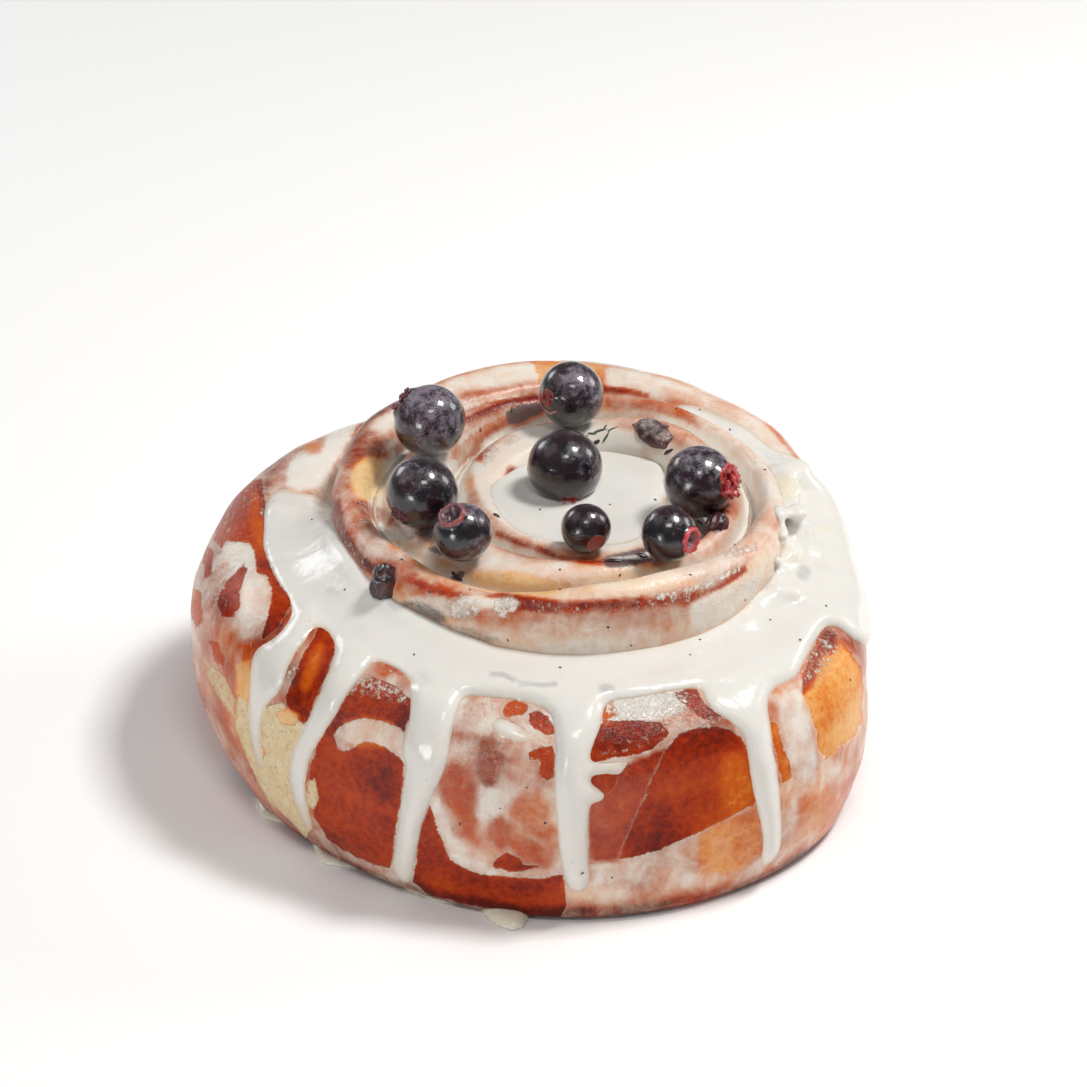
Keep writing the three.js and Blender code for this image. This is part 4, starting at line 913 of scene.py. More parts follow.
# ------------------------------------------------------------------ materials
class Look:
    """A material and short ways to add its nodes."""

    def __init__(self, name, rgb=(0.8, 0.8, 0.8), rough=0.4):
        self.m = bpy.data.materials.new(name)
        self.m.use_nodes = True
        self.t = self.m.node_tree
        self.b = self.t.nodes["Principled BSDF"]
        self.b.inputs["Base Color"].default_value = (*rgb, 1)
        self.b.inputs["Roughness"].default_value = rough
        self._obj = None

    def node(self, kind, **props):
        n = self.t.nodes.new(kind)
        n.location = (-260 * (len(self.t.nodes) % 9) - 200, -230 * (len(self.t.nodes) // 9) + 300)
        for k, v in props.items():
            setattr(n, k, v)
        return n

    def put(self, socket, value):
        if isinstance(value, bpy.types.NodeSocket):
            self.t.links.new(value, socket)
        elif socket.type == "RGBA" and len(value) == 3:
            socket.default_value = (*value, 1)
        else:
            socket.default_value = value

    def math(self, op, a, b=0.0, c=0.0, clamp=False):
        n = self.node("ShaderNodeMath", operation=op, use_clamp=clamp)
        for s, v in zip(n.inputs, (a, b, c)):
            self.put(s, v)
        return n.outputs[0]

    def ramp01(self, x, lo, hi):
        n = self.node("ShaderNodeMapRange", interpolation_type="SMOOTHSTEP")
        for s, v in zip(n.inputs, (x, lo, hi, 0.0, 1.0)):
            self.put(s, v)
        return n.outputs[0]

    def mix(self, f, a, b, blend="MIX"):
        n = self.node("ShaderNodeMix", data_type="RGBA", blend_type=blend)
        self.put(n.inputs[0], f)
        self.put(n.inputs[6], a)
        self.put(n.inputs[7], b)
        return n.outputs[2]

    def lerp(self, f, a, b):
        n = self.node("ShaderNodeMix", data_type="FLOAT")
        self.put(n.inputs[0], f)
        self.put(n.inputs[2], a)
        self.put(n.inputs[3], b)
        return n.outputs[0]

    def ramp(self, f, stops):
        n = self.node("ShaderNodeValToRGB")
        e = n.color_ramp.elements
        while len(e) < len(stops):
            e.new(0.5)
        for el, (pos, rgb) in zip(e, stops):
            el.position = pos
            el.color = (*rgb, 1)
        self.put(n.inputs[0], f)
        return n.outputs[0]

    def attr(self, name):
        n = self.node("ShaderNodeAttribute", attribute_name=name)
        s = self.node("ShaderNodeSeparateColor")
        self.t.links.new(n.outputs["Color"], s.inputs[0])
        return s.outputs[0], s.outputs[1], s.outputs[2]

    def at(self, scale=(1000, 1000, 1000)):
        """The point on the object, in mm."""
        if self._obj is None:
            self._obj = self.node("ShaderNodeTexCoord").outputs["Object"]
        n = self.node("ShaderNodeMapping")
        self.put(n.inputs["Vector"], self._obj)
        n.inputs["Scale"].default_value = scale
        return n.outputs[0]

    def noise(self, wave, detail=2.0, rough=0.5, stretch=(1, 1, 1), warp=0.0):
        """Noise in 0..1 with features about `wave` mm apart."""
        n = self.node("ShaderNodeTexNoise")
        self.put(n.inputs["Vector"], self.at(tuple(1000.0 / s for s in stretch)))
        n.inputs["Scale"].default_value = 1.0 / wave
        n.inputs["Detail"].default_value = detail
        n.inputs["Roughness"].default_value = rough
        n.inputs["Distortion"].default_value = warp
        return n.outputs[0]

    def cells(self, wave, feature="F1"):
        n = self.node("ShaderNodeTexVoronoi", feature=feature)
        self.put(n.inputs["Vector"], self.at())
        n.inputs["Scale"].default_value = 1.0 / wave
        return n.outputs["Distance"]

    def bump(self, height, mm, strength=1.0, under=None):
        n = self.node("ShaderNodeBump")
        n.inputs["Strength"].default_value = strength
        n.inputs["Distance"].default_value = mm * MM
        self.put(n.inputs["Height"], height)
        if under is not None:
            self.put(n.inputs["Normal"], under)
        return n.outputs[0]

    def set(self, **values):
        for k, v in values.items():
            self.put(self.b.inputs[k.replace("_", " ")], v)
        return self


def crust_look():
    k = Look("baked_crust")
    cover, veil, bake = k.attr("paint_a")
    red, crumb, stain_and_painted_shade = k.attr("paint_b")
    blister, ridge, flecks_and_painted_highlights = k.attr("paint_c")
    cover = k.math("MULTIPLY_ADD", cover, 4.0, -2.0)
    wob = k.noise(1.1, 3, 0.55)
    broad = k.noise(3.6, 3, 0.5, warp=0.5)
    fine = k.noise(0.35, 2, 0.6)
    grit = k.noise(0.62, 3, 0.65, warp=0.6)
    # bare crust by how far it is baked
    b = k.math("ADD", bake, k.math("MULTIPLY_ADD", wob, 0.36, -0.18))
    b = k.math("ADD", b, k.math("MULTIPLY_ADD", fine, 0.20, -0.10))
    b = k.math("ADD", b, k.math("MULTIPLY_ADD", ridge, 0.16, -0.08), clamp=True)
    crust = k.ramp(b, [(0.0, (0.84, 0.62, 0.33)), (0.26, (0.82, 0.42, 0.13)), (0.40, (0.74, 0.25, 0.045)), (0.52, (0.60, 0.108, 0.005)),
                       (0.66, (0.52, 0.070, 0.004)), (0.78, (0.42, 0.040, 0.003)), (0.89, (0.25, 0.018, 0.003)), (1.0, (0.08, 0.009, 0.005))])
    crust = k.mix(k.math("MULTIPLY", red, 0.35), crust, (0.24, 0.013, 0.010))
    # small dark and light specks of the skin
    speck = k.ramp01(k.cells(1.5), 0.16, 0.08)
    crust = k.mix(k.math("MULTIPLY", speck, 0.35), crust, (0.12, 0.02, 0.008))
    # the milky film on it
    tear = k.noise(2.4, 3, 0.6, warp=0.4)
    frayed = k.math("ADD", cover, k.math("MULTIPLY_ADD", tear, 1.1, -0.55))
    frayed = k.math("ADD", frayed, k.math("MULTIPLY_ADD", grit, 0.5, -0.25))
    film = k.ramp01(frayed, -0.16, 0.22)
    # the film's torn edge is whitened: a thicker rim of film, and partly a painted edge highlight
    rim = k.math("SUBTRACT", 1.0, k.math("MULTIPLY", k.math("ABSOLUTE", k.math("SUBTRACT", frayed, 0.10)), 7.0), clamp=True)
    flow = k.noise(1.5, 3, 0.6, stretch=(1, 1, 3.2), warp=0.3)
    amount = k.math("MULTIPLY_ADD", k.math("MULTIPLY", veil, k.math("SUBTRACT", 1.0, veil)), 3.0, 0.14)
    mottle = k.math("ADD", k.math("MULTIPLY_ADD", broad, 1.3, -0.65), k.math("MULTIPLY_ADD", flow, 0.45, -0.22))
    mottle = k.math("ADD", mottle, k.math("MULTIPLY_ADD", grit, 0.35, -0.17))
    # it wears thin over ridges and gathers in grooves
    mottle = k.math("ADD", mottle, k.math("MULTIPLY_ADD", ridge, -0.5, 0.25))
    v = k.math("MULTIPLY_ADD", amount, mottle, veil)
    v = k.math("MULTIPLY_ADD", rim, 0.24, v, clamp=True)
    v = k.math("MULTIPLY", v, film)
    # bright flecks where it has dried and cracked, and painted highlights along glossy crests and rims
    chip = k.noise(0.8, 4, 0.75, warp=0.25)
    fleck_and_painted_highlight = k.math("MULTIPLY", k.ramp01(k.math("MULTIPLY_ADD", flecks_and_painted_highlights, 0.36, chip), 0.66, 0.86), 0.85)
    v = k.math("MAXIMUM", v, fleck_and_painted_highlight)
    deep = k.mix(k.ramp01(bake, 0.34, 0.74), (0.84, 0.57, 0.35), (0.50, 0.27, 0.13))
    thin = k.mix(v, deep, (0.80, 0.76, 0.695))
    weight = k.math("SUBTRACT", 1.0, k.math("POWER", k.math("SUBTRACT", 1.0, v), 1.55))
    colour = k.mix(weight, crust, thin)
    # torn crumb, pale and dry
    pale = k.ramp(k.noise(1.6, 3, 0.6), [(0.25, (0.72, 0.51, 0.25)), (0.5, (0.82, 0.67, 0.41)), (0.8, (0.86, 0.78, 0.57))])
    pore = k.ramp01(k.cells(0.95), 0.30, 0.12)
    pale = k.mix(k.math("MULTIPLY", pore, 0.55), pale, (0.42, 0.30, 0.14))
    torn = k.ramp01(k.math("ADD", crumb, k.math("MULTIPLY_ADD", wob, 0.5, -0.25)), 0.35, 0.62)
    colour = k.mix(k.math("MULTIPLY", torn, 0.92), colour, pale)
    # dark stains and scraps, and painted shade in grooves, hollows and under berries
    dark = k.math("MULTIPLY", k.ramp01(k.math("ADD", stain_and_painted_shade, k.math("MULTIPLY_ADD", grit, 0.7, -0.35)), 0.15, 0.75), 0.85)
    colour = k.mix(dark, colour, (0.085, 0.075, 0.080))
    rough = k.lerp(film, k.math("MULTIPLY_ADD", fine, 0.16, 0.20), k.math("MULTIPLY_ADD", broad, 0.20, 0.16))
    rough = k.lerp(torn, rough, 0.85)
    h = k.math("MULTIPLY", film, 0.5)
    h = k.math("ADD", h, k.math("MULTIPLY", wob, k.lerp(blister, 0.10, 0.55)))
    h = k.math("ADD", h, k.math("MULTIPLY", grit, k.lerp(blister, 0.06, 0.75)))
    h = k.math("ADD", h, k.math("MULTIPLY", fine, k.lerp(torn, 0.03, 1.2)))
    h = k.math("ADD", h, k.math("MULTIPLY", fleck_and_painted_highlight, 0.45))
    gloss = k.math("MULTIPLY_ADD", film, 0.22, 0.08)
    gloss = k.math("MULTIPLY_ADD", blister, 0.35, gloss)
    gloss = k.math("MULTIPLY_ADD", fleck_and_painted_highlight, 0.35, gloss)
    k.set(Base_Color=colour, Roughness=rough, Normal=k.bump(h, 0.30), IOR=1.45, Specular_IOR_Level=gloss)
    return k.m


def glaze_look():
    k = Look("sugar_glaze")
    depth, stain_and_painted_shade, cream_and_painted_shade = k.attr("paint_a")
    wave = k.noise(5.5, 2, 0.5)
    soft = k.noise(1.8, 2, 0.5)
    body = k.mix(wave, (0.735, 0.708, 0.652), (0.785, 0.765, 0.722))
    # yellower cream on clots and drops, and on the puddles a darker tan that is painted shade
    body = k.mix(k.math("MULTIPLY", cream_and_painted_shade, 0.8), body, (0.80, 0.71, 0.46))
    edge = k.ramp01(k.math("ADD", depth, k.math("MULTIPLY_ADD", soft, 0.25, -0.125)), 0.0, 0.42)
    colour = k.mix(edge, (0.68, 0.57, 0.46), body)
    # grey smears, with painted shade between clots and painted reflections of berries in the glaze
    grey = k.math("MULTIPLY", k.ramp01(k.math("ADD", stain_and_painted_shade, k.math("MULTIPLY_ADD", soft, 0.5, -0.25)), 0.1, 0.8), 0.55)
    colour = k.mix(grey, colour, (0.36, 0.37, 0.40))
    speck = k.math("MULTIPLY", k.ramp01(k.cells(4.3), 0.045, 0.02), 0.5)
    colour = k.mix(speck, colour, (0.30, 0.24, 0.20))
    h = k.math("ADD", k.math("MULTIPLY", wave, 0.8), k.math("MULTIPLY", soft, 0.25))
    h = k.math("ADD", h, k.math("MULTIPLY", k.noise(0.7, 2, 0.5), 0.05))
    k.set(Base_Color=colour, Roughness=k.math("MULTIPLY_ADD", soft, 0.12, 0.14), Normal=k.bump(h, 0.30), IOR=1.46)
    k.b.inputs["Subsurface Weight"].default_value = 0.30
    k.b.inputs["Subsurface Radius"].default_value = (1.0, 0.75, 0.5)
    k.b.inputs["Subsurface Scale"].default_value = 0.0012
    return k.m


def berry_look():
    k = Look("berry_skin")
    calyx, bloom, red = k.attr("paint_a")
    fine = k.noise(0.28, 3, 0.65)
    mid = k.noise(1.3, 3, 0.6)
    broad = k.noise(3.5, 2, 0.5)
    skin = k.mix(k.ramp01(broad, 0.35, 0.75), (0.0042, 0.0038, 0.0060), (0.026, 0.0040, 0.010))
    patchy = k.math("ADD", bloom, k.math("MULTIPLY_ADD", mid, 1.5, -0.75))
    dust = k.math("MULTIPLY", k.ramp01(patchy, 0.22, 0.85), k.ramp01(k.math("MULTIPLY_ADD", patchy, 0.25, fine), 0.40, 0.78))
    skin = k.mix(k.math("MULTIPLY", dust, 0.75), skin, (0.30, 0.24, 0.31))
    wet = k.ramp(k.math("ADD", red, k.math("MULTIPLY_ADD", mid, 0.4, -0.2), clamp=True),
                 [(0.0, (0.055, 0.014, 0.022)), (0.22, (0.27, 0.085, 0.12)), (0.42, (0.34, 0.045, 0.020)), (0.66, (0.52, 0.010, 0.018)), (0.88, (0.66, 0.04, 0.05)), (1.0, (0.74, 0.30, 0.32))])
    edge = k.ramp01(k.math("ADD", calyx, k.math("MULTIPLY_ADD", mid, 0.3, -0.15)), 0.38, 0.62)
    colour = k.mix(edge, skin, wet)
    rough = k.lerp(dust, k.math("MULTIPLY_ADD", fine, 0.10, 0.10), 0.55)
    rough = k.lerp(edge, rough, 0.14)
    h = k.math("ADD", k.math("MULTIPLY", fine, 0.22), k.math("MULTIPLY", mid, 0.5))
    h = k.math("ADD", h, k.math("MULTIPLY", k.math("MULTIPLY", edge, fine), 0.9))
    k.set(Base_Color=colour, Roughness=rough, Normal=k.bump(h, 0.26), Coat_Normal=k.bump(h, 0.04), IOR=1.45)
    k.b.inputs["Coat Weight"].default_value = 0.85
    k.b.inputs["Coat Roughness"].default_value = 0.05
    return k.m


def skin_look():
    """Crushed berries: wet torn skins, partly under glaze."""
    k = Look("crushed_skin")
    film, red, _ = k.attr("paint_a")
    mid = k.noise(1.1, 3, 0.6)
    fine = k.noise(0.3, 3, 0.6)
    base = k.mix(k.ramp01(mid, 0.35, 0.7), (0.010, 0.011, 0.015), (0.075, 0.018, 0.024))
    base = k.mix(k.math("MULTIPLY", red, 0.8), base, (0.25, 0.05, 0.05))
    f = k.ramp01(k.math("ADD", film, k.math("MULTIPLY_ADD", mid, 1.0, -0.5)), 0.30, 0.95)
    colour = k.mix(k.math("MULTIPLY", f, 0.85), base, (0.66, 0.60, 0.54))
    h = k.math("ADD", k.math("MULTIPLY", mid, 0.8), k.math("MULTIPLY", fine, 0.3))
    k.set(Base_Color=colour, Roughness=k.math("MULTIPLY_ADD", fine, 0.2, 0.10), Normal=k.bump(h, 0.25), IOR=1.5)
    k.b.inputs["Coat Weight"].default_value = 0.4
    k.b.inputs["Coat Roughness"].default_value = 0.06
    return k.m


def filling_look():
    k = Look("cinnamon_filling")
    film, _, _ = k.attr("paint_a")
    grain = k.noise(0.5, 3, 0.65)
    damp = k.noise(3.0, 2, 0.5)
    colour = k.ramp(grain, [(0.25, (0.035, 0.008, 0.004)), (0.5, (0.11, 0.025, 0.010)), (0.75, (0.24, 0.07, 0.025))])
    colour = k.mix(k.ramp01(damp, 0.45, 0.75), colour, (0.16, 0.018, 0.030))
    coat = k.ramp01(k.math("ADD", film, k.math("MULTIPLY_ADD", grain, 0.8, -0.4)), 0.25, 0.8)
    colour = k.mix(k.math("MULTIPLY", coat, 0.94), colour, (0.66, 0.56, 0.47))
    k.set(Base_Color=colour, Roughness=k.math("MULTIPLY_ADD", damp, 0.3, 0.25), Normal=k.bump(grain, 0.35), IOR=1.45)
    return k.m


def herb_look():
    k = Look("herb")
    vein = k.noise(0.4, 2, 0.6, stretch=(1, 3, 1))
    colour = k.ramp(vein, [(0.3, (0.035, 0.060, 0.030)), (0.6, (0.085, 0.125, 0.060)), (0.85, (0.20, 0.22, 0.13))])
    k.set(Base_Color=colour, Roughness=k.math("MULTIPLY_ADD", vein, 0.2, 0.35), Normal=k.bump(vein, 0.10))
    return k.m


def speck_look():
    k = Look("dark_speck")
    g = k.noise(0.25, 2, 0.6)
    colour = k.ramp(g, [(0.3, (0.015, 0.012, 0.014)), (0.7, (0.09, 0.04, 0.03))])
    k.set(Base_Color=colour, Roughness=k.math("MULTIPLY_ADD", g, 0.3, 0.25), Normal=k.bump(g, 0.06))
    return k.m


def floor_look():
    k = Look("pale_ground", (0.97, 0.965, 0.96), 1.0)
    k.b.inputs["Specular IOR Level"].default_value = 0.0
    return k.m


# ------------------------------------------------------------------ pieces
def slim(ob, hidden, keep):
    """Thins out the part of a mesh that nobody sees."""
    group = ob.vertex_groups.new(name="hidden")
    group.add([int(i) for i in np.nonzero(hidden)[0]], 1.0, "REPLACE")
    mod = ob.modifiers.new("slim", "DECIMATE")
    mod.ratio = keep
    mod.vertex_group = "hidden"
    mod.vertex_group_factor = 10.0
    graph = bpy.context.evaluated_depsgraph_get()
    me = bpy.data.meshes.new_from_object(ob.evaluated_get(graph))
    ob.modifiers.clear()
    ob.vertex_groups.clear()
    old = ob.data
    me.name = ob.name
    ob.data = me
    bpy.data.meshes.remove(old)
    me.shade_smooth()


def points_of(ob):
    me = ob.data
    p = np.empty(len(me.vertices) * 3, np.float32)
    me.vertices.foreach_get("co", p)
    return p.reshape(-1, 3).astype(float) / MM


def unit(v):
    v = np.asarray(v, float)
    return v / np.maximum(np.linalg.norm(v, axis=-1, keepdims=True), 1e-9)


def tris(ob):
    return sum(len(p.vertices) - 2 for p in ob.data.polygons)


NOISES = [noise3(9, 31), noise3(3.5, 32), noise3(18, 33)]
CONV = (blur(D, 3) - D) * 4.0
CONV = np.clip(CONV, -3, 3)

dough = make_object("dough_skin", dough_pos, dough_quads, crust_look())
hid = (sample(GL, dough_pos) < -0.35) | (dough_pos[:, 2] < 0.5) | (sample(D, dough_pos + 0) > 9)
slim(dough, hid, 0.88)
p = points_of(dough)
n = unit(gradient(D, p))
paint = paint_points(p, n, CONV)
attribute(dough, "paint_a", np.stack([(np.clip(paint["cover"], -1.9, 1.9) + 2) / 4, paint["veil"], paint["bake"]], 1))
attribute(dough, "paint_b", np.stack([paint["red"], paint["crumb"], paint["stain_and_painted_shade"]], 1))
attribute(dough, "paint_c", np.stack([paint["blister"], np.clip(paint["conv"] * 0.5 + 0.5, 0, 1), paint["flecks_and_painted_highlights"]], 1))

glaze = make_object("glaze", glaze_pos, glaze_quads, glaze_look())
slim(glaze, sample(D, glaze_pos) < -0.45, 0.56)
p = points_of(glaze)
q = to_px(p)
stain_and_painted_shade, cream_and_painted_shade = np.zeros(len(p)), np.zeros(len(p))
# grey smears on the glaze, with painted shade between the clots at the right and a painted reflection of a berry at the
# left
for value, soft, poly in ((0.9, 3, stroke(5, (490, 674), (502, 674), (516, 681))), (0.8, 3, stroke(5, (520, 683), (540, 685), (558, 684))),
                          (0.7, 4, ell(606, 688, 9, 5)), (0.55, 5, ell(762, 578, 9, 14)), (0.6, 4, ell(804, 573, 8, 9)), (0.5, 5, ell(424, 545, 14, 10)),
                          (0.45, 5, ell(790, 690, 12, 8)), (0.4, 5, ell(340, 535, 12, 10)), (0.7, 4, ell(398, 598, 12, 14)), (0.45, 5, ell(330, 590, 8, 6))):
    stain_and_painted_shade = np.maximum(stain_and_painted_shade, value * smooth(inside(q, poly), -soft, soft) * (p[:, 2] > 30))
# cream on clots and drops; on the puddles a darker tan that is painted shade
for value, soft, poly in ((0.6, 5, ell(787, 488, 11, 13)), (0.5, 4, ell(824, 530, 6, 4)), (0.5, 5, ell(541, 563, 9, 7)), (0.25, 5, ell(795, 560, 12, 10)),
                          (0.55, 6, [(470, 880), (535, 890), (535, 936), (470, 920)]), (0.4, 6, [(400, 870), (470, 895), (480, 912), (400, 905)]),
                          (0.4, 6, [(305, 830), (400, 860), (400, 880), (305, 875)]), (0.5, 6, [(245, 780), (310, 812), (305, 835), (245, 830)])):
    cream_and_painted_shade = np.maximum(cream_and_painted_shade, value * smooth(inside(q, poly), -soft, soft))
attribute(glaze, "paint_a", np.stack([np.clip(sample(D, p), 0, 3) , stain_and_painted_shade, cream_and_painted_shade], 1))

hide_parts("dough")
pieces = [dough, glaze]

# ------------------------------------------------------------------ the filling in the grooves
def seam_radius(phi):
    return outer_radius(phi + 360) + SEAM / 2


def filling_strip():
    phi = np.arange(TAIL + 1.0, HEART - 360 - 1.0, 1.0)
    a = np.radians(phi)
    r = seam_radius(phi)
    z = np.arange(22.0, 47.0, 0.2)
    pts = np.stack([
        np.repeat((AXIS[0] + r * np.cos(a))[:, None], len(z), 1), np.repeat((AXIS[1] + r * np.sin(a))[:, None], len(z), 1),
        np.repeat(z[None, :], len(phi), 0)], -1).reshape(-1, 3)
    free = (sample(D, pts) > 0).reshape(len(phi), len(z))
    floor_z = z[np.where(free.any(1), free.argmax(1), len(z) - 1)]
    k = np.ones(7) / 7
    floor_z = np.convolve(np.pad(floor_z, 3, mode="edge"), k, mode="valid")
    rs = np.random.RandomState(11)
    jit = np.convolve(rs.uniform(-1, 1, len(phi) + 8), np.ones(9) / 9, mode="valid")
    top = floor_z + 0.12 + 0.40 * jit
    verts, faces = [], []
    prof = [(-0.5, 0.0), (-0.5, 0.55), (-0.5, 0.9), (-0.42, 0.97), (-0.22, 1.0), (0.0, 1.0), (0.22, 1.0), (0.42, 0.97), (0.5, 0.9), (0.5, 0.55), (0.5, 0.0)]
    m = len(prof)
    for i in range(len(phi)):
        w = 1.0 * (1 + 0.15 * jit[i])
        for j, (u, v) in enumerate(prof):
            zz = 0.35 + v * (top[i] - 0.35) + (0.35 * rs.uniform(-0.4, 0.4) if v > 0.96 else 0)
            rr = r[i] + u * w
            verts.append((AXIS[0] + rr * math.cos(a[i]), AXIS[1] + rr * math.sin(a[i]), zz))
    for i in range(len(phi) - 1):
        for j in range(m):
            k2 = (j + 1) % m
            faces.append((i * m + j, i * m + k2, (i + 1) * m + k2, (i + 1) * m + j))
    me = bpy.data.meshes.new("filling_strip")
    ends = [tuple(range(m))[::-1], tuple((len(phi) - 1) * m + j for j in range(m))]
    me.from_pydata([tuple(c * MM for c in v) for v in verts], [], faces + ends)
    bm = bmesh.new()
    bm.from_mesh(me)
    bmesh.ops.recalc_face_normals(bm, faces=bm.faces)
    bm.to_mesh(me)
    bm.free()
    me.shade_smooth()
    ob = bpy.data.objects.new("filling_strip", me)
    bpy.context.scene.collection.objects.link(ob)
    me.materials.append(filling_look())
    q = to_px(points_of(ob))
    film = np.full(len(q), 0.9)
    for line in (stroke(13, (462, 424), (500, 405), (545, 393), (600, 387), (652, 394)), stroke(12, (490, 530), (520, 545), (560, 559), (620, 562), (655, 558)),
                 stroke(12, (470, 452), (484, 432), (505, 414), (548, 404))):
        film = np.minimum(film, 0.9 - 0.85 * smooth(inside(q, line), -3, 3))
    attribute(ob, "paint_a", np.stack([film, film, film], 1))
    return ob


strip = filling_strip()
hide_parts("filling")
pieces.append(strip)

# ------------------------------------------------------------------ berries
SHIFT = np.array([0.7306, -1.2947, 0.0])


def ball(level):
    bm = bmesh.new()
    bmesh.ops.create_icosphere(bm, subdivisions=level, radius=1.0)
    v = np.array([w.co[:] for w in bm.verts])
    f = np.array([[w.index for w in face.verts] for face in bm.faces])
    bm.free()
    return unit(v), f


class Lumps:
    """Smooth noise on a sphere: a few waves in seeded directions."""

    def __init__(self, seed, freq, count=9):
        rs = np.random.RandomState(seed)
        self.d = unit(rs.normal(size=(count, 3))) * freq * rs.uniform(0.7, 1.4, (count, 1))
        self.o = rs.uniform(0, 6.28, count)

    def __call__(self, v):
        return np.sin(v @ self.d.T + self.o).sum(1) / math.sqrt(len(self.o)) * 0.7


BALL_V, BALL_F = ball(6)
BALL5_V, BALL5_F = ball(5)


def petal(base, out, up, length, width, thick, curl, seed):
    """A small torn flap: a bent, tapered, closed slab."""
    rs = np.random.RandomState(seed)
    side = unit(np.cross(out, up))
    nu, nv = 6, 5
    top, bottom = [], []
    bend = rs.uniform(0.5, 1.3) * curl
    for i in range(nu):
        t = i / (nu - 1)
        ang = bend * t
        mid = base + length * (up * math.sin(max(1.4 - ang, 0.1)) * t + out * math.cos(1.4 - ang) * t)
        nrm = unit(np.cross(side, unit(up * math.sin(1.4 - ang) + out * math.cos(1.4 - ang))))
        w = width * (1 - 0.65 * t**1.6) * (1 + 0.25 * rs.uniform(-1, 1))
        for j in range(nv):
            s = (j / (nv - 1) - 0.5) * 2
            c = mid + side * s * w / 2 + nrm * (0.25 * width * s * s + 0.06 * length * rs.uniform(-1, 1))
            e = thick * (1 - 0.6 * abs(s)) * (1 - 0.5 * t)
            top.append(c + nrm * e / 2)
            bottom.append(c - nrm * e / 2)
    v = np.array(top + bottom)
    k = nu * nv
    f = []
    idx = lambda i, j: i * nv + j
    for i in range(nu - 1):
        for j in range(nv - 1):
            a, b, c, d = idx(i, j), idx(i + 1, j), idx(i + 1, j + 1), idx(i, j + 1)
            f += [(a, b, c), (a, c, d), (k + a, k + c, k + b), (k + a, k + d, k + c)]
    rim = [idx(i, 0) for i in range(nu)] + [idx(nu - 1, j) for j in range(1, nv)] + [idx(i, nv - 1) for i in range(nu - 2, -1, -1)] + [idx(0, j) for j in range(nv - 2, 0, -1)]
    for a, b in zip(rim, rim[1:] + rim[:1]):
        f += [(a, k + a, k + b), (a, k + b, b)]
    return v, np.array(f)


# name, centre and radius in mm, where the flower end points, its form, redness of the end, bloom and the side it lies on
BERRIES = [
    ("berry_back", (6.55, 26.09, 50.82), 5.34, (-0.74, -0.62, 0.2), "crack", 0.62, 0.50, (0.8, -0.3, 0.5)),
    ("berry_left_high", (-16.13, 15.27, 51.72), 5.82, (-0.8, 0.1, 0.6), "stub", 0.16, 0.62, (0.35, -0.3, 0.9)),
    ("berry_left_mid", (-16.8, -8.17, 50.97), 5.69, (-0.6, -0.7, -0.35), "scar", 0.1, 0.36, (0.5, 0.1, 0.85)),
    ("berry_left_low", (-10.42, -18.34, 49.62), 4.57, (-0.36, -0.35, 0.87), "ring", 0.12, 0.46, (0.7, -0.2, 0.7)),
    ("berry_heart", (5.43, 7.72, 47.17), 6.02, (0.1, -0.75, -0.65), "scar", 0.8, 0.34, (0.8, 0.1, 0.6)),
    ("berry_front_small", (8.5, -12.85, 47.22), 3.88, (0.42, -0.88, -0.25), "spot", 0.42, 0.10, (0.5, 0.1, 0.8)),
    ("berry_right_small", (21.1, -17.92, 49.07), 4.35, (0.81, -0.58, 0.03), "ring", 0.62, 0.22, (0.5, 0.1, 0.8)),
    ("berry_right", (26.38, -0.99, 49.12), 5.71, (0.86, -0.45, 0.24), "torn", 0.62, 0.50, (0.1, -0.1, 1.0)),
]
BERRY_LOOK = berry_look()


